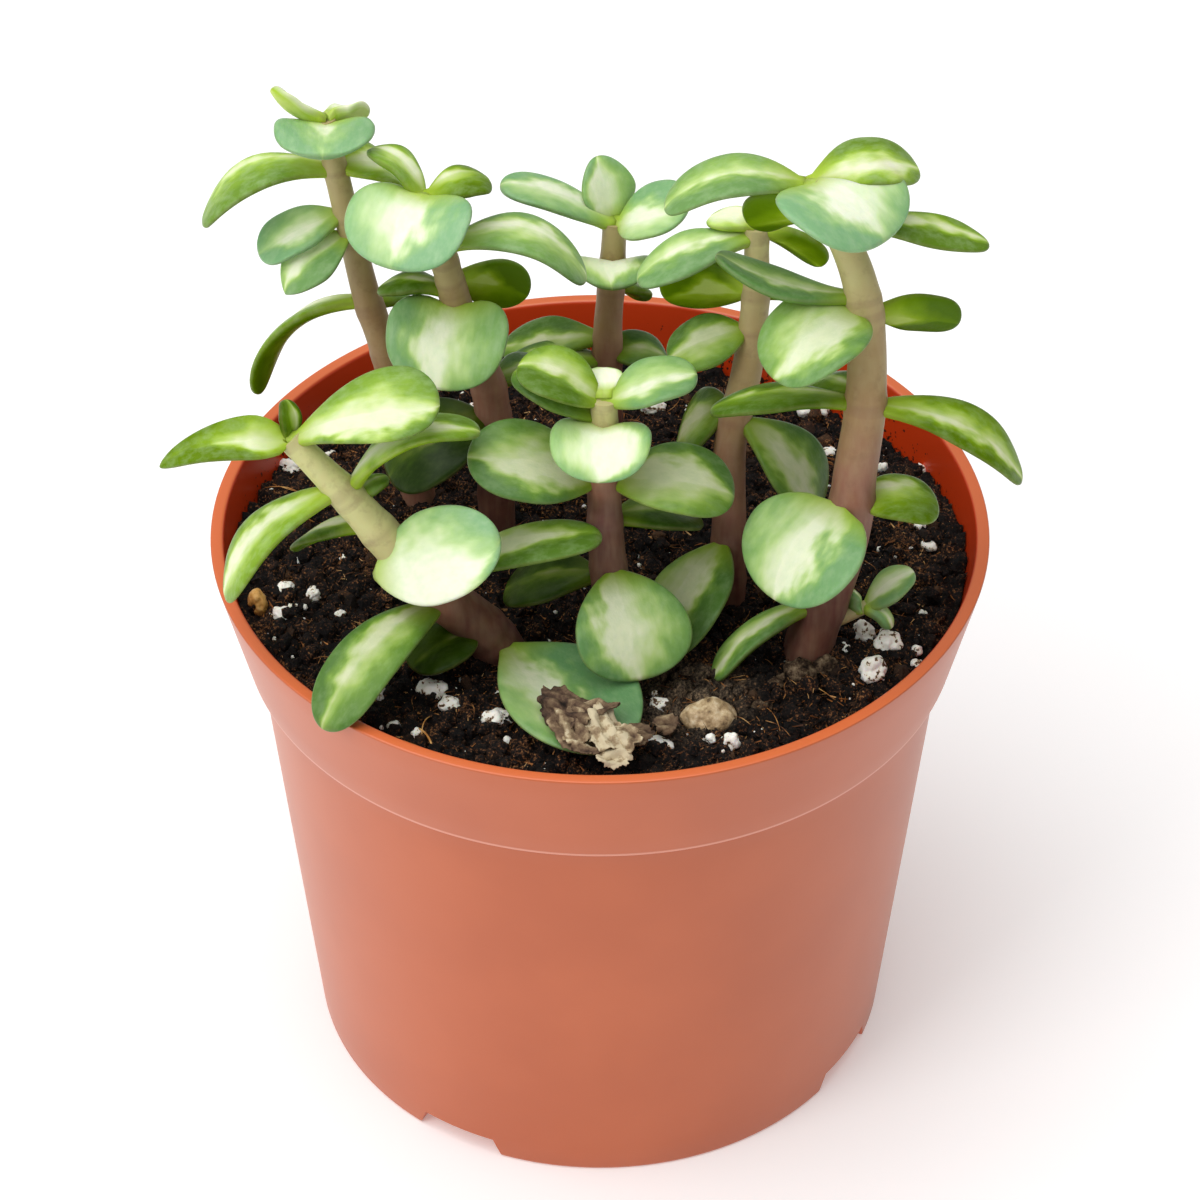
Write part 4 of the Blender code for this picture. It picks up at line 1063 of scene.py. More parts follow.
# %% Table of stems
STEMS = {
    "left_back": {
        "path": [(-24, 12, 62, 2.3), (-25, 12, 78, 2.4), (-28.5, 13, 101, 2.1), (-31, 14, 110.5, 1.9),
                 (-33, 14.5, 122, 1.7), (-34.5, 15, 131, 1.6), (-35.5, 15.5, 138, 1.3)],
        "leaves": [
            (137, 0, 5, 7.5, 13, 0.5, 0, 0.8),
            (138, -100, 35, 7, 4, -0.6, 35, 0.8),
            (138, 125, -18, 5.5, 4.5, 0.4, -30, 0.8),
            (130.5, -85, -25, 18, 8, 3.8, 0, 0),
            (130.5, 115, -35, 9, 9, 1.6, 5, 0.6),
            (123.5, -80, -25, 11.5, 8, 0.8, -15, 0.4),
            (120.5, -55, -30, 10.5, 8, 1.6, -15, 0.5),
            (110, -100, -50, 22.5, 7.4, 3.8, 20, 0.3),
            (109, 155, -30, 7.5, 6, 0.6, 0, 0.4),
        ],
    },
    "left_middle": {
        "path": [(-13.5, 4, 62, 2.4), (-14, 4, 78, 2.5), (-14.5, 4.5, 101, 2.4), (-17.5, 5, 110.5, 2.1),
                 (-19.5, 5.5, 119.5, 1.9), (-21, 6, 126.5, 1.7), (-22.5, 6.5, 132, 1.5)],
        "leaves": [
            (132, -125, 25, 8.4, 6, 1.4, 15, 0.6),
            (132, 110, 0, 7.5, 7, 1.2, 0, 0),
            (132, -20, -25, 10.5, 16.5, 1.2, 0, 0.8),
            (125, 85, -15, 18, 9, 4.4, 0, 0.2),
            (122.5, -130, -25, 10.5, 7.5, 0.8, 0, 0.4),
            (119.5, 115, -30, 11, 7.5, 0.8, -85, 0.3),
            (116, -10, -35, 11, 16, 1.4, 0, 0.8),
            (118, -100, -10, 8.5, 6, 1.2, 10, 0),
            (98.5, -70, -30, 14.5, 13, 2, -15, 0),
            (103, 130, -15, 10, 7, 1, 0, 0.4),
        ],
    },
    "left_front": {
        "path": [(-10.5, -20.5, 64, 3), (-12, -21, 76, 3.2), (-15, -22, 83, 3.2), (-21, -23.5, 91, 3),
                 (-26.5, -24, 99, 2.6), (-32.5, -23, 107, 2.1), (-39, -21, 114, 1.6)],
        "leaves": [
            (113.5, -85, -10, 16, 6.4, 2.6, -20, 0.4),
            (114, 85, 20, 19, 12.5, 2.2, 12, 0.6),
            (114, -160, 72, 4.4, 3.2, 0.5, 30, 0.5),
            (107, -75, -45, 20, 8.5, 3, 0, 0.2),
            (107.5, 95, 25, 18, 9.5, 3.4, -15, 0.5),
            (106, 125, 10, 4, 3, 0.3, 0, 0.3),
            (101.5, -115, -35, 12.5, 6.5, 1, 10, 0.2),
            (97.5, 75, 30, 19, 12.4, 1, 48, 0.5, (-2.9, -2.2, -1.6)),
            (94, 85, 20, 22.5, 8, 1.6, 0, 0.2),
            (89.5, -39, -15, 22.5, 9, 4, -5, 0.2),
            (83.5, -50, -5, 9, 8.5, 1, 0, 0.2),
            (81.4, 37, 0, 24.5, 17.5, 1.2, 3, 1, (2, -2.2, 0)),
        ],
    },
    "centre_back": {
        "path": [(1, 18, 60, 2.2), (1, 18, 76, 2.3), (1, 19, 99.5, 2), (1.5, 20.5, 108, 1.8),
                 (2, 22, 117.5, 1.6)],
        "leaves": [
            (117.5, -85, 25, 15.5, 7.5, 1.2, -5, 0.3),
            (117.5, 65, 30, 11, 9.5, 0.8, 25, 0.5),
            (117.5, -150, 65, 8.5, 8, 0.6, 0, 0.6),
            (111.5, 0, 15, 8, 10.5, 1.2, 0, 0.6),
            (107.5, 145, -45, 7, 6.5, 0.6, 0, 0),
            (97, -75, 0, 12.5, 8.5, 1.2, 0, 0.4),
            (100, -110, -20, 14.5, 7.5, 0.8, -20, 0.2),
            (98, 100, -20, 7, 7.5, 0.8, 10, 0.2),
        ],
    },
    "centre_front": {
        "path": [(2.5, -20, 64, 2.6), (2.5, -20, 78, 2.6), (1, -20, 93.5, 2.4), (0.5, -19, 105.5, 2.1),
                 (0.5, -18, 118, 1.6)],
        "leaves": [
            (117.5, -100, 22, 10.5, 8.5, 1.4, -15, 0.6),
            (117.5, 95, 18, 11, 8, 1, 10, 0.4),
            (118, 180, 10, 4, 5, 0.4, 0, 0.8),
            (115, -110, 20, 11.5, 8, 1.8, -10, 0.2),
            (114, -5, -15, 8, 12.8, 1.2, 0, 0.8),
            (105.5, -85, 18, 16.5, 12.5, 1.6, -20, 0.3),
            (105.5, 85, -5, 15, 11.5, 2.4, 15, 0.3),
            (99.5, 115, -20, 12.5, 8, 0.8, 0, 0.2),
            (92.5, 18, -34, 14.5, 15.5, 1.6, 0, 0.8),
            (90.5, -105, -25, 13.5, 9.5, 1.4, -10, 0.2),
        ],
    },
    "right_middle": {
        "path": [(17, -11, 64, 2.3), (17, -11, 78, 2.4), (17, -11, 89.5, 2.3), (17, -8, 103.5, 2.1),
                 (19, -4, 112, 2), (20, -1, 121, 1.8), (20, 1, 131, 1.5)],
        "leaves": [
            (131, -115, -10, 5.5, 5, 0.3, 0, 0.5),
            (130.5, 95, -38, 9.5, 6.5, 0.8, -50, 0.2),
            (129.5, -80, -20, 15, 7.8, 1.4, -5, 0.3),
            (122.5, -105, -15, 11.5, 9.8, 1, 72, 0.3),
            (121.5, 135, -35, 8.5, 7, 0.8, 0, 0.3),
            (117, -80, -20, 10, 8.5, 0.8, -15, 0.3),
            (107, -125, -55, 12.5, 11, 1.2, -30, 0.3),
            (106, 70, -50, 15.5, 11, 2.2, 10, 0.5),
            (89.5, -30, -25, 18, 11.5, 1.2, 10, 0.5),
        ],
    },
    "right_front": {
        "path": [(27, -22, 63, 3), (27, -22, 78, 3.2), (31.5, -21, 97.5, 3), (32.5, -19.5, 107.5, 2.8),
                 (33.5, -17.5, 117.5, 2.6), (33, -15, 129.5, 2.3), (30.5, -12.5, 137.5, 2),
                 (25.5, -10, 145, 1.6)],
        "leaves": [
            (145, -85, -10, 16.5, 8.5, 3.2, -5, 0.2),
            (145, 110, -5, 13.5, 9, 2.2, 10, 0.2),
            (145, 45, -15, 11.5, 17.5, 1.4, 0, 0.8),
            (142, -100, -20, 8.8, 8.6, 0.8, 65, 0.2),
            (140.5, 95, -15, 19, 5.5, 0.8, 10, 0.2),
            (131, -95, 18, 17.5, 7.4, -1.4, 8, 0.5),
            (128.8, 110, -20, 12, 6.3, 0.8, -80, 0.2),
            (129.3, -55, -20, 13, 13.5, 1.6, -5, 0.8),
            (116.5, 85, -30, 21, 7.5, 3.8, 10, 0.2),
            (117, -90, -5, 17.5, 7, 1.4, 10, 0.2),
            (117.5, -140, -20, 7.5, 6, 0.6, 0, 0.2),
            (103, 95, -10, 9, 9, 1, 5, 0.2),
            (103.5, -45, -36, 14.4, 18.6, 1.6, 5, 0.6),
            (87.5, -65, -30, 15, 5.6, 1.8, 10, 0.4),
        ],
    },
    "side_shoot": {
        "path": [(28, -21.8, 83.5, 1.2), (31.9, -21.4, 85.2, 1), (34.8, -20.5, 86, 0.8)],
        "leaves": [
            (86, 105, 37, 7.2, 5.8, 0.6, 0, 0.2),
            (86, 58, -38, 3.6, 2.6, 0.6, 0, 0.2),
            (85.8, -90, 75, 3, 2.2, 0.2, 0, 0.2),
        ],
    },
}
print(sum(len(stem["leaves"]) for stem in STEMS.values()), "leaves on", len(STEMS), "stems")

# %% [markdown]
# A variegated leaf has three tones: a mint or yellow-green margin, a lighter green, and a cream centre. The
# cream zone of each leaf is its own, so the leaves that show have their values here: half width of the cream
# zone as a share of the leaf's, its shift across, where it starts and ends along the leaf, the margin's tone
# from 0, mint, to 1, yellow-green, and how much painted shade the leaf gets, from 1, fully lit, to 0, darkest
# in the shade of the leaves round it. A leaf without a row draws its values from a seeded generator, and gets
# darker painted shade the lower it stands.

# %% Table of leaf markings
MARKINGS = {
    ("left_back", 0): (0.26, 0.0, 0.0, 0.5, 0.1, 1.0),
    ("left_back", 1): (1.20, 0.0, -0.3, 1.2, 0.6, 1.0),
    ("left_back", 2): (1.20, 0.0, -0.3, 1.2, 0.5, 1.0),
    ("left_back", 3): (0.16, 0.5, -0.2, 0.9, 0.85, 1.0),
    ("left_back", 4): (0.50, 0.0, 0.0, 0.8, 0.95, 1.0),
    ("left_back", 5): (0.42, -0.2, 0.1, 0.7, 0.05, 0.95),
    ("left_back", 6): (0.30, 0.25, 0.0, 0.95, 0.45, 0.95),
    ("left_back", 7): (0.40, 0.3, 0.1, 0.9, 0.95, 1.0),
    ("left_back", 8): (0.30, 0.0, 0.0, 0.8, 0.8, 0.7),
    ("left_middle", 0): (0.40, 0.2, 0.0, 0.9, 0.85, 1.0),
    ("left_middle", 1): (0.35, -0.3, 0.0, 0.6, 1.0, 0.75),
    ("left_middle", 2): (0.44, 0.1, 0.0, 0.85, 0.0, 1.0),
    ("left_middle", 3): (0.28, -0.2, 0.1, 0.9, 0.5, 0.95),
    ("left_middle", 4): (0.30, 0.0, 0.0, 0.6, 0.8, 0.6),
    ("left_middle", 5): (0.45, 0.1, -0.1, 0.55, 0.9, 0.95),
    ("left_middle", 6): (0.34, 0.12, 0.0, 1.1, 0.3, 0.92),
    ("left_middle", 7): (0.30, 0.0, 0.0, 0.7, 0.9, 0.6),
    ("left_middle", 8): (0.14, 0.0, 0.0, 0.6, 0.8, 0.05),
    ("left_middle", 9): (0.30, 0.0, 0.0, 0.8, 0.6, 0.3),
    ("left_front", 0): (0.70, -0.1, 0.0, 0.4, 1.0, 0.9),
    ("left_front", 1): (0.52, 0.3, -0.1, 0.95, 0.8, 0.92),
    ("left_front", 2): (0.30, 0.3, 0.0, 0.9, 1.0, 0.5),
    ("left_front", 3): (0.38, 0.1, 0.1, 1.0, 0.9, 0.98),
    ("left_front", 4): (0.55, 0.2, 0.0, 0.9, 0.9, 0.85),
    ("left_front", 6): (0.50, 0.0, 0.0, 0.9, 0.9, 0.6),
    ("left_front", 7): (1.00, 0.5, -0.5, 0.85, 0.1, 1.0),
    ("left_front", 8): (0.60, -0.2, 0.0, 0.75, 0.8, 0.65),
    ("left_front", 9): (0.34, 0.1, 0.0, 0.85, 0.6, 0.55),
    ("left_front", 10): (0.10, 0.0, 0.0, 0.4, 0.9, 0.15),
    ("left_front", 11): (0.40, 0.3, -0.2, 0.8, 0.05, 0.55),
    ("centre_back", 0): (0.40, 0.1, 0.0, 0.9, 0.1, 0.95),
    ("centre_back", 1): (0.50, 0.3, 0.0, 0.8, 0.1, 0.95),
    ("centre_back", 2): (0.60, -0.2, 0.0, 0.9, 0.3, 0.95),
    ("centre_back", 3): (0.65, 0.1, 0.0, 0.9, 0.5, 0.95),
    ("centre_back", 4): (0.20, 0.0, 0.0, 0.9, 1.0, 0.8),
    ("centre_back", 5): (0.34, 0.2, 0.0, 0.8, 0.7, 0.45),
    ("centre_back", 6): (0.30, -0.2, 0.0, 0.8, 0.7, 0.45),
    ("centre_back", 7): (0.20, 0.0, 0.0, 0.6, 0.6, 0.35),
    ("centre_front", 0): (0.28, 0.2, 0.0, 0.9, 0.9, 0.7),
    ("centre_front", 1): (0.30, 0.1, 0.0, 0.9, 0.3, 0.85),
    ("centre_front", 2): (0.90, 0.0, 0.0, 0.9, 0.4, 1.0),
    ("centre_front", 3): (0.30, 0.1, 0.0, 0.7, 0.7, 0.5),
    ("centre_front", 4): (0.66, -0.1, 0.0, 1.0, 0.2, 1.0),
    ("centre_front", 5): (0.50, -0.1, 0.0, 0.85, 0.5, 0.5),
    ("centre_front", 6): (0.62, 0.1, 0.0, 0.85, 0.6, 0.55),
    ("centre_front", 7): (0.20, 0.0, 0.0, 0.5, 0.8, 0.25),
    ("centre_front", 8): (0.50, 0.12, 0.0, 1.0, 0.3, 0.62),
    ("centre_front", 9): (0.10, 0.0, 0.0, 0.6, 0.9, 0.12),
    ("right_middle", 0): (0.90, 0.0, -0.3, 1.0, 0.9, 1.0),
    ("right_middle", 1): (0.05, 0.0, 0.0, 0.4, 1.0, 1.0),
    ("right_middle", 2): (0.25, 0.2, 0.0, 0.9, 0.4, 0.9),
    ("right_middle", 3): (0.50, 0.1, 0.0, 0.7, 0.9, 1.0),
    ("right_middle", 4): (0.30, 0.0, 0.0, 0.7, 0.8, 0.6),
    ("right_middle", 5): (0.45, 0.0, 0.0, 0.85, 0.7, 0.6),
    ("right_middle", 6): (0.40, 0.0, 0.0, 0.8, 0.8, 0.3),
    ("right_middle", 7): (0.45, 0.2, 0.0, 0.9, 0.6, 0.4),
    ("right_middle", 8): (0.50, 0.2, 0.0, 0.9, 0.6, 0.4),
    ("right_front", 0): (0.16, 0.0, 0.0, 0.8, 0.5, 0.9),
    ("right_front", 1): (0.34, 0.3, 0.1, 0.9, 0.9, 0.98),
    ("right_front", 2): (0.50, -0.1, 0.0, 0.8, 0.0, 1.0),
    ("right_front", 3): (0.30, 0.3, 0.0, 0.6, 1.0, 1.0),
    ("right_front", 4): (0.24, -0.2, 0.0, 0.9, 0.9, 0.85),
    ("right_front", 5): (0.20, -0.1, 0.0, 0.8, 0.4, 0.72),
    ("right_front", 6): (0.70, -0.1, 0.0, 0.45, 1.0, 0.75),
    ("right_front", 7): (0.50, -0.1, 0.0, 0.9, 0.5, 0.85),
    ("right_front", 8): (0.28, 0.2, 0.0, 0.95, 1.0, 0.75),
    ("right_front", 9): (0.16, 0.2, -0.2, 0.6, 0.9, 0.6),
    ("right_front", 10): (0.20, 0.0, 0.0, 0.6, 0.9, 0.5),
    ("right_front", 11): (0.45, -0.4, 0.0, 0.6, 1.0, 0.8),
    ("right_front", 12): (0.44, 0.05, -0.2, 1.1, 0.2, 0.85),
    ("right_front", 13): (0.30, 0.0, 0.0, 1.2, 0.55, 0.6),
    ("side_shoot", 0): (0.40, 0.0, 0.0, 1.2, 0.35, 0.95),
    ("side_shoot", 1): (0.40, 0.0, 0.0, 1.2, 0.35, 0.95),
    ("side_shoot", 2): (0.40, 0.0, 0.0, 1.2, 0.35, 0.95),
}
MARKING_SEED = 6506
LOW_LEAF = 92           # height up to which a leaf without a row is darkest, in mm
HIGH_LEAF = 120         # height from which it is lightest
DARKEST = 0.45
chooser = random.Random(MARKING_SEED)
for name, stem in STEMS.items():
    for index, leaf in enumerate(stem["leaves"]):
        # painted shade: a leaf without a row is painted darker the lower it stands
        share = (leaf[0] - LOW_LEAF) / (HIGH_LEAF - LOW_LEAF)
        depth = min(max(DARKEST + (1 - DARKEST) * share, DARKEST), 1.0)
        drawn = (chooser.uniform(0.2, 0.45), chooser.uniform(-0.2, 0.2), 0.0, chooser.uniform(0.7, 1.0),
                 chooser.uniform(0.2, 0.9), depth)
        MARKINGS.setdefault((name, index), drawn)
print(len(MARKINGS), "leaf markings")

# %% [markdown]
# A leaf is a fleshy blade, 1.9 mm thick, widest near its middle, with a rounded margin. It is lofted through
# rings that stand across its arched midrib. A leaf about as broad as it is long has shoulders that reach back
# past its root, like a heart, and a crease where they meet. Many that show well have their own outline. Four
# attributes go with the points for the material: where the point lies on the blade, its distances in
# millimetres with the leaf's own number, the marking there, and how much painted shade the leaf gets.

# %% Shape of a leaf
TIP = 2.5              # how blunt a tip is
# widest place along the leaf, rise from the root, bluntness of the tip, share of the heart shape
# and depth of the valley along the midrib in mm, then for a few how pointed the tip is
OUTLINES = {
    ("left_back", 3): (0.55, 0.9, 2.8, 0, 0.3),
    ("left_back", 6): (0.5, 0.9, 1.8, 0, 1.3, 0.85),
    ("left_back", 7): (0.6, 0.8, 2.6, 0, 0.2),
    ("left_middle", 1): (0.6, 0.9, 3.2, 0, 0),
    ("left_middle", 3): (0.55, 0.9, 2.8, 0, 0.3),
    ("centre_back", 2): (0.45, 0.9, 1.4, 0, 0.8),
    ("centre_front", 0): (0.5, 0.9, 2.2, 0, 1.6),
    ("centre_front", 1): (0.5, 0.9, 2.6, 0, 0.6),
    ("centre_front", 3): (0.5, 0.9, 2.2, 0, 0.8),
    ("right_front", 0): (0.5, 0.9, 2.6, 0, 0.5),
    ("right_front", 3): (0.55, 0.7, 2.6, 0, 0),
    ("right_front", 6): (0.62, 1.1, 2.4, 0, 0),
    ("right_front", 8): (0.5, 0.9, 2.8, 0, 0.4),
    ("left_front", 0): (0.24, 0.6, 1.45, 0, 1.2, 0.62),
    ("left_front", 1): (0.66, 1.2, 2.4, 0, 0),
    ("left_front", 2): (0.5, 0.9, 2.2, 0, 0.3),
    ("left_front", 3): (0.55, 0.9, 3.0, 0, 0.5),
    ("left_front", 7): (0.5, 0.8, 2.3, 0, 0),
    ("left_front", 8): (0.55, 0.9, 3.2, 0, 0.3),
    ("left_front", 9): (0.6, 0.9, 3.0, 0, 0.2),
    ("left_front", 11): (0.58, 1.05, 2.0, 0, 2.0, 0.6),
    ("centre_front", 2): (0.4, 0.8, 1.6, 0, 0.2, 0.8),
    ("centre_front", 8): (0.62, 0.8, 2.2, 0, 0.3),
    ("right_middle", 8): (0.45, 0.9, 2.0, 0, 0.3),
    ("right_front", 12): (0.46, 0.42, 2.3, 0, 0.2),
}


def smooth_path(points, steps):
    """Rows of x, y, z, radius along a smooth curve through a stem's points."""
    first = [2 * a - b for a, b in zip(points[0], points[1])]
    last = [2 * a - b for a, b in zip(points[-1], points[-2])]
    spread = [first, *points, last]
    rows = []
    for i in range(len(points) - 1):
        for k in range(steps):
            t = k / steps
            values = []
            for a, b, c, d in zip(*spread[i:i + 4]):
                bend = 2 * a - 5 * b + 4 * c - d
                twist = 3 * b - 3 * c + d - a
                values.append(0.5 * (2 * b + (c - a) * t + bend * t * t + twist * t ** 3))
            rows.append(tuple(values))
    rows.append(tuple(points[-1]))
    return rows


def at_height(rows, height):
    """The row of a path at a height."""
    for low, high in zip(rows, rows[1:]):
        if low[2] <= height <= high[2]:
            share = (height - low[2]) / (high[2] - low[2])
            return tuple(a + (b - a) * share for a, b in zip(low, high))
    return rows[-1] if height > rows[-1][2] else rows[0]


def half_width_share(t, root, widest, rise, tip, power=0.5):
    """Share of a leaf's half width at t along it. A power of 0.5 rounds the tip, and 1 sharpens it."""
    if t < widest:
        return root + (1 - root) * math.sin(math.pi / 2 * t / widest) ** rise
    return max(1 - ((t - widest) / (1 - widest)) ** tip, 0) ** power


print("half width at a third of a leaf", round(half_width_share(0.33, 0.2, 0.55, 1, TIP), 3))

# %% [markdown]
# A flat cut-out given a thickness would look like card. A ring of points round the blade at each
# step along it gives the lens-like section, the furrow along the midrib, the cupped sides and
# the waves of the margin at once, and stays light enough for 75 leaves. The rings stand closer
# together towards the tip, where the outline bends most.

# %% Rings of a leaf
LEAF_THICKNESS = 1.9
LEAF_STEPS = 32
LEAF_AROUND = 28
SHOULDER = 0.42        # how far the shoulders of a broad leaf reach back, as a share of its length
CREASE = 1.3           # how far they rise at the root, in mm
HEART_RATIO = 0.75     # width over length from which a leaf grows shoulders
HEART_RANGE = 0.5      # how much more makes it a whole heart
ROOT_REACH = 0.8       # where a leaf starts, as a share of the stem's radius
TIP_THINNING = 1.1     # how fast a leaf thins beyond its middle
NARROW_SHARE = 0.45    # share of its width below which it thins further
ROOT_WIDTH = 2.5       # width of a leaf at its root, in mm
NARROW_ROOT = 0.14     # the same for a leaf with its own start, as a share of its width
JOINT_HALF_WIDTH = 1.1     # half width and thickness of the first ring, in the middle of the stem
JOINT_THICKNESS = 1.5
LENS_POWER = 0.8       # below 1 a section is fuller than an ellipse
GROOVE_DEPTH = 0.16    # furrow along the midrib, in mm, and its width as a share of the half width
GROOVE_WIDTH = 0.22
RIPPLE_HEIGHTS = (0.12, 0.3)    # least and most height of the waves along the margin, in mm
RIPPLE_TURNS = (5, 9)           # least and most angle that they run through, in radians


def leaf_rings(row, leaf, number, outline=None):
    """Rings of points across a leaf, with t, q and upper or lower for each point."""
    turn, lift, length, width, arch, roll, rise, *own_start = leaf[1:]
    ratio = min(width / length, 1.2)
    axis_point = Vector(row[:3])
    start = axis_point + (Vector(own_start[0]) if own_start else direction(turn) * ROOT_REACH * row[3])
    root = NARROW_ROOT if own_start else ROOT_WIDTH / width
    heart = min(max((width / length - HEART_RATIO) / HEART_RANGE, 0), 1)
    widest, swell, tip_power, heart, valley, *power = outline or (
        0.64 - 0.14 * ratio, 1.5 - 0.75 * ratio, TIP, heart, 0)
    chord = direction(turn) * math.cos(math.radians(lift)) + Vector((0, 0, math.sin(math.radians(lift))))
    level = chord.cross(Vector((0, 0, 1))).normalized()
    upward = level.cross(chord)
    roll = math.radians(roll)
    normal = upward * math.cos(roll) + level * math.sin(roll)
    side = level * math.cos(roll) - upward * math.sin(roll)
    sway = random.Random(number)
    wave = [sway.uniform(*RIPPLE_HEIGHTS), sway.uniform(*RIPPLE_TURNS), sway.uniform(0, math.tau)]
    rings = []
    for k in range(-1, LEAF_STEPS):
        t = math.sin(math.pi / 2 * k / LEAF_STEPS) if k >= 0 else 0.0
        share = half_width_share(t, root, widest, swell, tip_power, *power)
        half = width / 2 * share
        thick = LEAF_THICKNESS
        if t > 0.5:
            thick *= 1.0 - TIP_THINNING * (t - 0.5) ** 1.4
            thick *= min(1.0, (share / NARROW_SHARE) ** 0.6)
        centre = start + chord * length * t + normal * 4 * arch * t * (1 - t)
        along = (chord * length + normal * 4 * arch * (1 - 2 * t)).normalized()
        up = side.cross(along)
        if k < 0:
            centre, half, thick, share = axis_point, JOINT_HALF_WIDTH, JOINT_THICKNESS, 0.0
        shoulder = SHOULDER * heart * length * (1 - t) ** 1.5 * share
        crease = CREASE * heart * (1 - t) ** 2 * share
        ring = []
        for i in range(LEAF_AROUND):
            angle = math.tau * i / LEAF_AROUND
            q = math.cos(angle)
            lens = math.copysign(abs(math.sin(angle)) ** LENS_POWER, math.sin(angle)) * thick / 2
            groove = GROOVE_DEPTH * math.exp(-(q / GROOVE_WIDTH) ** 2) * (1 - t) * share if lens > 0 else 0
            ripple = wave[0] * math.sin(wave[1] * t + wave[2] + 2 * q) * q * q * share
            cup = rise * share * q * q + crease * abs(q) ** 1.2
            cup += valley * share * (1 - t) * (abs(q) - 0.5)
            point = centre + side * q * half + up * (lens - groove + cup + ripple)
            point -= along * shoulder * abs(q) ** 1.6
            under = min(max(0.5 - 1.2 * lens / thick, 0), 1)
            ring.append((point, t, q, under, q * half, t * length))
        rings.append(ring)
    return rings, start + chord * length


print("leaf rings", LEAF_STEPS + 1, "of", LEAF_AROUND, "points")

# %% [markdown]
# All leaves of a stem are one mesh, because they have one finish and stand for one CAD node. Each
# ring is joined to the next, the first is closed inside the stem, and the last runs together in a
# point at the tip. The width of the cream zone is worked out here for each ring, so that the
# material only has to compare it with where a point lies.

# %% Leaves of each stem
NUMBER_STEP = 7.3      # spreads the leaves' numbers, so that neighbours differ in the noise
NUMBERS_A_STEM = 40    # leaf numbers set aside for each stem
ZONE_OPENING = 0.25    # length along a leaf, as a share, over which the cream zone opens
ZONE_CLOSING = 0.35    # and over which it closes


def cream_width(t, marking):
    """Half width of the cream zone at t, for the marking of one leaf."""
    width, begin, end = marking[0], marking[2], marking[3]
    fade_in = min(max((t - begin) / ZONE_OPENING + 0.55, 0), 1)
    fade_out = min(max((end - t) / ZONE_CLOSING + 0.25, -0.6), 1)
    return width * fade_in * fade_out


def leaves_of(name, stem):
    """One mesh with all the leaves of a stem, and its attributes."""
    rows = smooth_path(stem["path"], 3)
    vertices = []
    faces = []
    spots = []
    sizes = []
    marks = []
    depths = []
    for index, leaf in enumerate(stem["leaves"]):
        number = index + NUMBERS_A_STEM * list(STEMS).index(name)
        marking = MARKINGS[(name, index)]
        rings, tip = leaf_rings(at_height(rows, leaf[0]), leaf, number, OUTLINES.get((name, index)))
        first = len(vertices)
        for ring in rings:
            for point, t, q, under, x, y in ring:
                vertices.append(point)
                spots += (q, t, under)
                sizes += (x, y, number * NUMBER_STEP)
                marks += (cream_width(t, marking), marking[1], marking[4])
                depths.append(marking[5])
        n = LEAF_AROUND
        for j in range(len(rings) - 1):
            for i in range(n):
                a, b = first + j * n + i, first + j * n + (i + 1) % n
                faces.append((a, b, b + n, a + n))
        last = first + (len(rings) - 1) * n
        vertices.append(tip)
        spots += (0, 1, 0.5)
        sizes += (0, leaf[3], number * NUMBER_STEP)
        marks += (cream_width(1, marking), marking[1], marking[4])
        depths.append(marking[5])
        faces += [(last + i, last + (i + 1) % n, len(vertices) - 1) for i in range(n)]
        faces.append(tuple(reversed(range(first, first + n))))
    piece = make_piece("leaves_" + name, vertices, faces, sharp=0)
    for label, values in (("leaf_spot", spots), ("leaf_size", sizes), ("leaf_mark", marks)):
        keep_values(piece, label, values, "FLOAT_VECTOR")
    keep_values(piece, "leaf_depth", depths)
    face_outwards(piece)
    return piece


leaf_pieces = {name: leaves_of(name, stem) for name, stem in STEMS.items()}
print(len(leaf_pieces), "pieces of leaves")

# %% [markdown]
# Leaf skin is a satin wax over water-filled flesh, so light enters it and comes out softened. The
# colour starts from the distance to the edge of the cream zone. Noise moves that edge in patches
# two or three millimetres wide and in finer spots of about one. On one side of each leaf, chosen
# by its number, the edge is crisp, as where two cell layers meet, and on the other it fades.

# %% Leaf zones
leaf_skin, tree, shader = start_material("waxy_variegated_succulent_skin", 0.36, 1.42)
spot = add_node(tree, "ShaderNodeAttribute", attribute_name="leaf_spot")
spot = add_node(tree, "ShaderNodeSeparateXYZ", {0: spot.outputs["Vector"]})
size = add_node(tree, "ShaderNodeAttribute", attribute_name="leaf_size")
mark = add_node(tree, "ShaderNodeAttribute", attribute_name="leaf_mark")
mark = add_node(tree, "ShaderNodeSeparateXYZ", {0: mark.outputs["Vector"]})
# patches per mm across and along the leaf, how far each moves the edge of the zone, and detail
ZONE_NOISES = [((0.46, 0.32, 1.0), 0.8, 1), ((1.3, 0.6, 1.0), 0.26, 3)]
away = add_node(tree, "ShaderNodeMath", {0: spot.outputs[0], 1: mark.outputs[1]}, operation="SUBTRACT")
leaf_number = add_node(tree, "ShaderNodeSeparateXYZ", {0: size.outputs["Vector"]})
leaf_side = add_node(tree, "ShaderNodeMath", {0: leaf_number.outputs[2]}, operation="SINE")
leaf_side = add_node(tree, "ShaderNodeMath", {0: leaf_side.outputs[0], 1: away.outputs[0]},
                     operation="MULTIPLY")
crisp = add_node(tree, "ShaderNodeMapRange", {0: leaf_side.outputs[0], 1: -0.08, 2: 0.08, 3: 0.7, 4: 1.9})
away = add_node(tree, "ShaderNodeMath", {0: away.outputs[0]}, operation="ABSOLUTE")
away = add_node(tree, "ShaderNodeMath", {0: away.outputs[0], 1: mark.outputs[0]}, operation="SUBTRACT")
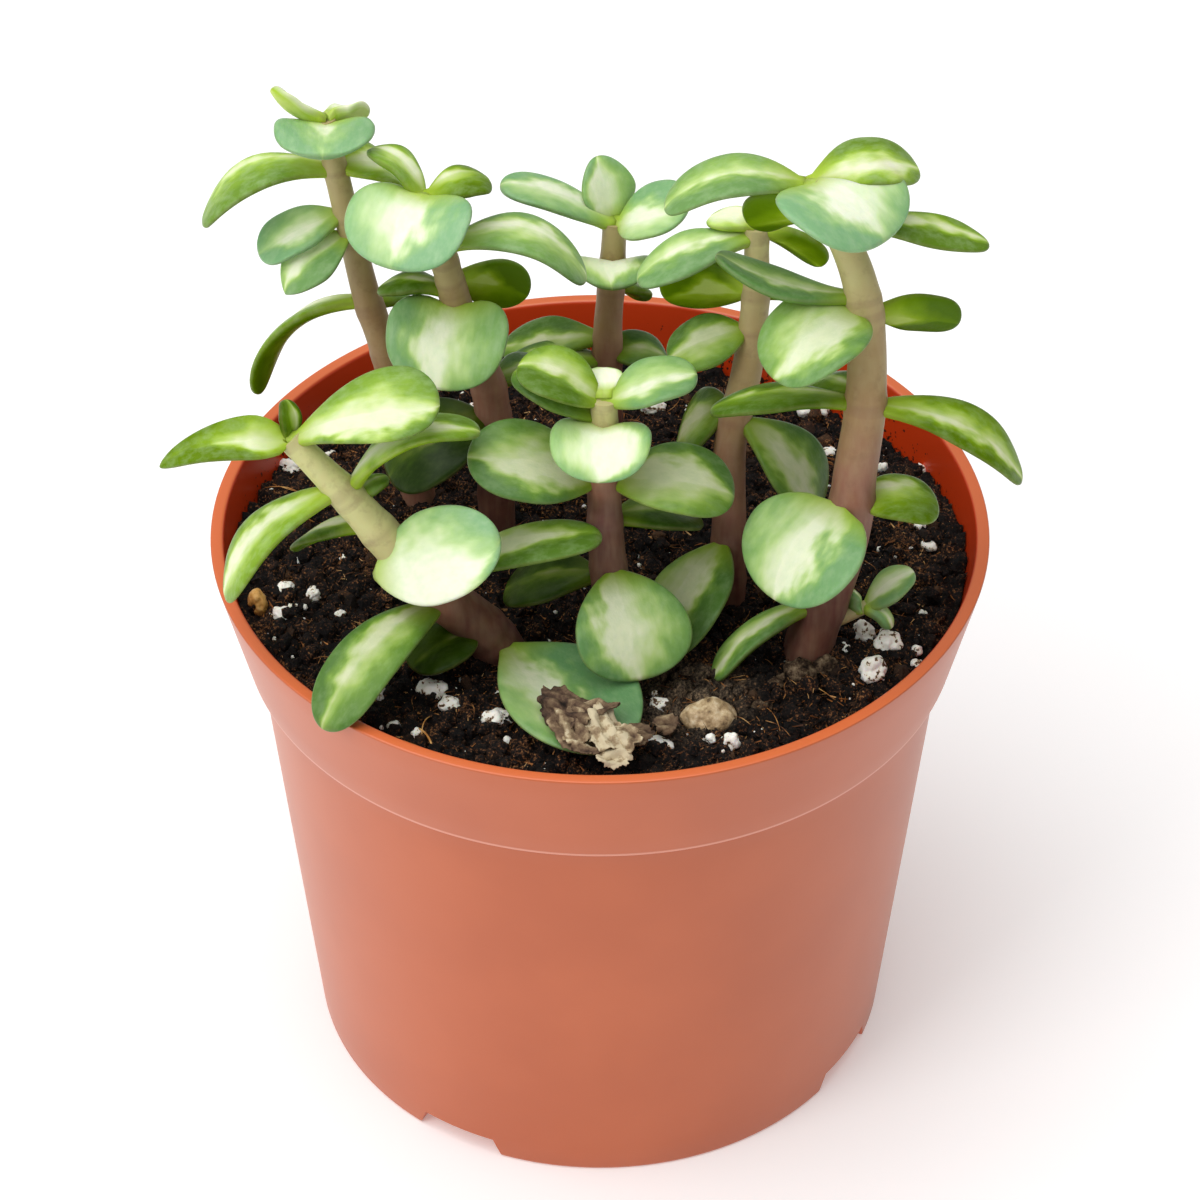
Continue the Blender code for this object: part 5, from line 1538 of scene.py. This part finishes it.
for stretch, reach, detail in ZONE_NOISES:
    patches = add_node(tree, "ShaderNodeVectorMath", {0: size.outputs["Vector"], 1: stretch},
                       operation="MULTIPLY")
    patches = add_node(tree, "ShaderNodeTexNoise", {"Vector": patches.outputs[0], "Scale": 1.0,
                                                    "Detail": detail})
    patches = add_node(tree, "ShaderNodeMath", {0: patches.outputs[0], 1: 0.5}, operation="SUBTRACT")
    away = add_node(tree, "ShaderNodeMath", {0: patches.outputs[0], 1: reach, 2: away.outputs[0]},
                    operation="MULTIPLY_ADD")
away = add_node(tree, "ShaderNodeMath", {0: away.outputs[0], 1: crisp.outputs[0]}, operation="MULTIPLY")
zone = add_node(tree, "ShaderNodeMapRange", {0: away.outputs[0], 1: -0.4, 2: 0.75})
print("zone noises", len(ZONE_NOISES))

# %% [markdown]
# Two ramps turn that distance into cream, light green and mint, or cream, yellow-green and deep
# green, and are mixed by the leaf's tone. A soft bloom of wax pales the upper side in patches.
# Under a yellow-green leaf the skin is a plain strong green without the bloom, partly its own colour and
# partly painted light shining through the thin leaf, and the yellower a leaf, the duller it is. The root is
# yellow-green, and a faint brownish line runs along the margin. A leaf low in the plant is painted a richer
# and darker green by its depth, with a gamma and a multiply: painted shade among the leaves, with the
# stronger green of light bounced between them. Fine pores make a weak bump.

# %% Leaf colours
mint = add_node(tree, "ShaderNodeValToRGB", {0: zone.outputs[0]},
                stops=[(0.0, "F2F8DE"), (0.2, "E2EFC8"), (0.34, "CCE2A8"), (0.44, "B6D692"),
                       (0.54, "A2C882"), (0.66, "90BC7A"), (0.98, "82B27E")])
green = add_node(tree, "ShaderNodeValToRGB", {0: zone.outputs[0]},
                 stops=[(0.0, "F0F6CE"), (0.2, "DEEAAC"), (0.34, "C4DC76"), (0.44, "AAC84C"),
                        (0.54, "8CAE1E"), (0.95, "6A8A00")])
upper = add_node(tree, "ShaderNodeMix", {0: mark.outputs[2], 6: mint.outputs[0], 7: green.outputs[0]},
                 data_type="RGBA")
bloom = add_node(tree, "ShaderNodeVectorMath", {0: size.outputs["Vector"], 1: (0.9, 0.6, 1.0)},
                 operation="MULTIPLY")
bloom = add_node(tree, "ShaderNodeTexNoise", {"Vector": bloom.outputs[0], "Scale": 1.0, "Detail": 4,
                                              "Roughness": 0.6})
bloom = add_node(tree, "ShaderNodeMapRange", {0: bloom.outputs[0], 1: 0.42, 2: 0.68, 3: 0.0, 4: 0.22})
upper = add_node(tree, "ShaderNodeMix", {0: bloom.outputs[0], 6: upper.outputs[2], 7: linear("C4DCB0")},
                 data_type="RGBA")
# underside of a yellow-green leaf: partly its own colour, partly painted light shining through the thin leaf
lower = add_node(tree, "ShaderNodeValToRGB", {0: zone.outputs[0]},
                 stops=[(0.0, "C2D670"), (0.26, "A2C02C"), (0.5, "84A60C"), (0.85, "648600")])
downward = add_node(tree, "ShaderNodeMapRange", {0: spot.outputs[2], 1: 0.5, 2: 0.8})
strong = add_node(tree, "ShaderNodeMapRange", {0: mark.outputs[2], 1: 0.1, 2: 0.6, 3: 0.0, 4: 1.0})
strong = add_node(tree, "ShaderNodeMath", {0: downward.outputs[0], 1: strong.outputs[0]},
                  operation="MULTIPLY")
skin = add_node(tree, "ShaderNodeMix", {0: strong.outputs[0], 6: upper.outputs[2], 7: lower.outputs[0]},
                data_type="RGBA")
base = add_node(tree, "ShaderNodeMapRange", {0: spot.outputs[1], 1: 0.26, 2: 0.0, 3: 0.0, 4: 0.9})
skin = add_node(tree, "ShaderNodeMix", {0: base.outputs[0], 6: skin.outputs[2], 7: linear("AAC440")},
                data_type="RGBA")
# painted shade: the lower a leaf stands among the others, the darker and richer its green is painted
depth = add_node(tree, "ShaderNodeAttribute", attribute_name="leaf_depth")
painted_shade_gamma = add_node(tree, "ShaderNodeMapRange", {0: depth.outputs["Fac"], 3: 1.6, 4: 1.0})
skin = add_node(tree, "ShaderNodeGamma", {0: skin.outputs[2], 1: painted_shade_gamma.outputs[0]})
shade = add_node(tree, "ShaderNodeMath", {0: depth.outputs["Fac"], 1: 0.6}, operation="POWER")
deep = add_node(tree, "ShaderNodeMix", {0: 1.0, 6: skin.outputs[0], 7: linear("5E5828")},
                data_type="RGBA", blend_type="MULTIPLY")
skin = add_node(tree, "ShaderNodeMix", {0: shade.outputs[0], 6: deep.outputs[2], 7: skin.outputs[0]},
                data_type="RGBA")
margin = add_node(tree, "ShaderNodeMath", {0: spot.outputs[0]}, operation="ABSOLUTE")
margin = add_node(tree, "ShaderNodeMath", {0: margin.outputs[0], 1: spot.outputs[1]}, operation="MAXIMUM")
margin = add_node(tree, "ShaderNodeMapRange", {0: margin.outputs[0], 1: 0.955, 2: 0.995, 3: 0.0, 4: 0.22})
skin = add_node(tree, "ShaderNodeMix", {0: margin.outputs[0], 6: skin.outputs[2], 7: linear("7E7048")},
                data_type="RGBA")
tree.links.new(skin.outputs[2], shader.inputs["Base Color"])
gloss = add_node(tree, "ShaderNodeMath", {0: strong.outputs[0], 1: mark.outputs[2]}, operation="MAXIMUM")
gloss = add_node(tree, "ShaderNodeMapRange", {0: gloss.outputs[0], 3: 0.45, 4: 0.15})
tree.links.new(gloss.outputs[0], shader.inputs["Specular IOR Level"])
pores = add_node(tree, "ShaderNodeVectorMath", {0: size.outputs["Vector"], 1: (2.5, 1.6, 1.0)},
                 operation="MULTIPLY")
pores = add_node(tree, "ShaderNodeTexNoise", {"Vector": pores.outputs[0], "Scale": 1.0, "Detail": 3})
bump = add_node(tree, "ShaderNodeBump", {"Strength": 0.12, "Distance": 0.0005, "Height": pores.outputs[0]})
tree.links.new(bump.outputs[0], shader.inputs["Normal"])
shader.inputs["Subsurface Weight"].default_value = 0.25
shader.inputs["Subsurface Radius"].default_value = (0.7, 1.0, 0.3)
shader.inputs["Subsurface Scale"].default_value = 0.0012
for piece in leaf_pieces.values():
    piece.data.materials.append(leaf_skin)
print("leaf skin", len(tree.nodes), "nodes")

# %% [markdown]
# The stems are round and jointed, a little swollen where each pair of leaves stands or stood.
# Their paths are drawn as edges with a radius, a scar value and an age at each point, and Geometry
# Nodes sweep a circle along them with Curve to Mesh.

# %% Stem paths
NODE_SWELL = 0.07      # how much thicker a stem is at a leaf scar, as a share of its radius
NODE_LENGTH = 1.0      # half length of that swelling, in mm
SCAR_SPACING = 6.5     # distance between the scars of leaves that have fallen, below the lowest leaf
SCAR_LOWEST = 80.0     # height above which such scars stand
YOUNGEST = -0.6        # least age, on a scale on which 0 is young and 1 is old
SHORT_PATH = 3         # a path with no more points than this is a side shoot's
# height above which each stem is young, and below which it is old; the centre front stem's are set high as
# painted shade
STEM_AGES = {
    "left_back": (124, 66), "left_middle": (124, 92), "left_front": (97, 87), "centre_back": (116, 84),
    "centre_front": (113, 102), "right_middle": (117, 84), "right_front": (128, 96), "side_shoot": (84, 80),
}


def stem_path_piece(name, stem):
    """Edges along a stem's path, with its radius, its age and where its leaf scars are."""
    is_stem = len(stem["path"]) > SHORT_PATH
    rows = smooth_path(stem["path"], 16 if is_stem else 10)
    heights = sorted({leaf[0] for leaf in stem["leaves"]})
    low = min(heights)
    while is_stem and low - SCAR_SPACING > SCAR_LOWEST:
        low -= SCAR_SPACING
        heights.append(low)
    mesh = bpy.data.meshes.new("stem_path_" + name)
    mesh.from_pydata([Vector(row[:3]) * MM for row in rows], [(i, i + 1) for i in range(len(rows) - 1)], [])
    radii = []
    scars = []
    ages = []
    young, old = STEM_AGES[name]
    for row in rows:
        ages.append(min(max((young - row[2]) / (young - old), YOUNGEST), 1))
        ring = max(math.exp(-((row[2] - height) / NODE_LENGTH) ** 2) for height in heights)
        radii.append(row[3] * (1 + NODE_SWELL * ring) * MM)
        scars.append(ring)
    path = bpy.data.objects.new("stem_" + name, mesh)
    for label, values in (("stem_radius", radii), ("leaf_scar", scars), ("stem_age", ages)):
        keep_values(path, label, values)
    bpy.context.scene.collection.objects.link(path)
    return path


print("stem paths ready for", len(STEMS), "stems")

# %% Tree that sweeps a stem
STEM_SIDES = 24
sweep_tree, sweep_keys = start_tree("swept_stem", {
    "Sides": ("NodeSocketInt", STEM_SIDES),
    "Material": ("NodeSocketMaterial", None),
})
start = add_node(sweep_tree, "NodeGroupInput")
line = add_node(sweep_tree, "GeometryNodeMeshToCurve", {0: start.outputs["Geometry"]})
circle = add_node(sweep_tree, "GeometryNodeCurvePrimitiveCircle", {
    "Resolution": start.outputs["Sides"], "Radius": 1.0}, mode="RADIUS")
thickness = add_node(sweep_tree, "GeometryNodeInputNamedAttribute", {0: "stem_radius"}, data_type="FLOAT")
bark = add_node(sweep_tree, "GeometryNodeCurveToMesh", {
    "Curve": line.outputs[0], "Profile Curve": circle.outputs[0], "Scale": thickness.outputs[0],
    "Fill Caps": True})
whole = add_node(sweep_tree, "GeometryNodeRealizeInstances", {0: bark.outputs[0]})
close_tree(sweep_tree, start, whole)

# %% [markdown]
# A stem is a pale yellow-green at its tip, tan below, and turns mauve brown towards the soil, with a darker
# line at each leaf scar. The age kept along each path picks the colour, and blotches six millimetres wide
# shift it. The darkest end of that colour is partly painted shade, and the centre front stem, in the shade of
# the leaves round it, is painted dark from higher up. Noise stretched along the stem gives streaks 1 mm wide
# and 6 mm long, and another noise gives corky spots of two millimetres.

# %% Stem material
stem_bark, tree, shader = start_material("young_succulent_bark", 0.5, 1.42)
place = add_node(tree, "ShaderNodeTexCoord")
streak = add_node(tree, "ShaderNodeVectorMath", {0: place.outputs["Object"], 1: (900, 900, 160)},
                  operation="MULTIPLY")
streak = add_node(tree, "ShaderNodeTexNoise", {"Vector": streak.outputs[0], "Scale": 1.0, "Detail": 3})
blotch = add_node(tree, "ShaderNodeTexNoise", {"Vector": place.outputs["Object"],
                                               "Scale": 180, "Detail": 3})
age = add_node(tree, "ShaderNodeAttribute", attribute_name="stem_age")
age = add_node(tree, "ShaderNodeMapRange", {0: age.outputs["Fac"], 1: YOUNGEST, 2: 1.0})
age = add_node(tree, "ShaderNodeMath", {0: blotch.outputs[0], 1: 0.4, 2: age.outputs[0]},
               operation="MULTIPLY_ADD")
age = add_node(tree, "ShaderNodeMath", {0: age.outputs[0], 1: 0.2}, operation="SUBTRACT")
# the darkest stop is partly the old bark's colour and partly painted shade low among the leaves
tone = add_node(tree, "ShaderNodeValToRGB", {0: age.outputs[0]},
                stops=[(0.05, "CCCA8A"), (0.3, "B6A672"), (0.55, "A08256"), (0.78, "8E5E4A"),
                       (1.0, "643A32")])
pale = add_node(tree, "ShaderNodeMapRange", {0: streak.outputs[0], 1: 0.3, 2: 0.7, 3: 0.0, 4: 0.14})
tone = add_node(tree, "ShaderNodeMix", {0: pale.outputs[0], 6: tone.outputs[0], 7: linear("CDBB94")},
                data_type="RGBA")
spots = add_node(tree, "ShaderNodeTexNoise", {"Vector": place.outputs["Object"], "Scale": 480, "Detail": 4,
                                              "Roughness": 0.65})
spots = add_node(tree, "ShaderNodeMapRange", {0: spots.outputs[0], 1: 0.52, 2: 0.7, 3: 0.0, 4: 0.28})
tone = add_node(tree, "ShaderNodeMix", {0: spots.outputs[0], 6: tone.outputs[2], 7: linear("745238")},
                data_type="RGBA")
scar = add_node(tree, "ShaderNodeAttribute", attribute_name="leaf_scar")
scar = add_node(tree, "ShaderNodeMapRange", {0: scar.outputs["Fac"], 1: 0.7, 2: 1.0, 3: 0.0, 4: 0.25})
tone = add_node(tree, "ShaderNodeMix", {0: scar.outputs[0], 6: tone.outputs[2], 7: linear("7C5A48")},
                data_type="RGBA")
tree.links.new(tone.outputs[2], shader.inputs["Base Color"])
bump = add_node(tree, "ShaderNodeBump", {"Strength": 0.15, "Distance": 0.0003, "Height": streak.outputs[0]})
tree.links.new(bump.outputs[0], shader.inputs["Normal"])
shader.inputs["Subsurface Weight"].default_value = 0.1
shader.inputs["Subsurface Scale"].default_value = 0.001
print("stem bark", len(tree.nodes), "nodes")

# %% [markdown]
# Last, each path is swept, and the stem and its leaves are handed over as two pieces that stand
# for the same CAD node. The side shoot belongs to the node of the stem that it grows from.

# %% Sweep the stems and hand over the plant
for name, stem in STEMS.items():
    node = "leafy_stem_" + (name if name != "side_shoot" else "right_front")
    path = stem_path_piece(name, stem)
    modifier = path.modifiers.new("sweep", "NODES")
    modifier.node_group = sweep_tree
    modifier[sweep_keys["Sides"]] = STEM_SIDES
    modifier[sweep_keys["Material"]] = stem_bark
    apply_modifiers(path)
    path.data.shade_smooth()
    finish_piece(path, "succulent_stem", node)
    finish_piece(leaf_pieces[name], "succulent_leaf", node)

# %% [markdown]
# The two beds that the grains were scattered on have done their work and go.

# %% Clear away the beds
bpy.data.objects.remove(crumb_bed, do_unlink=True)
bpy.data.objects.remove(fibre_bed, do_unlink=True)
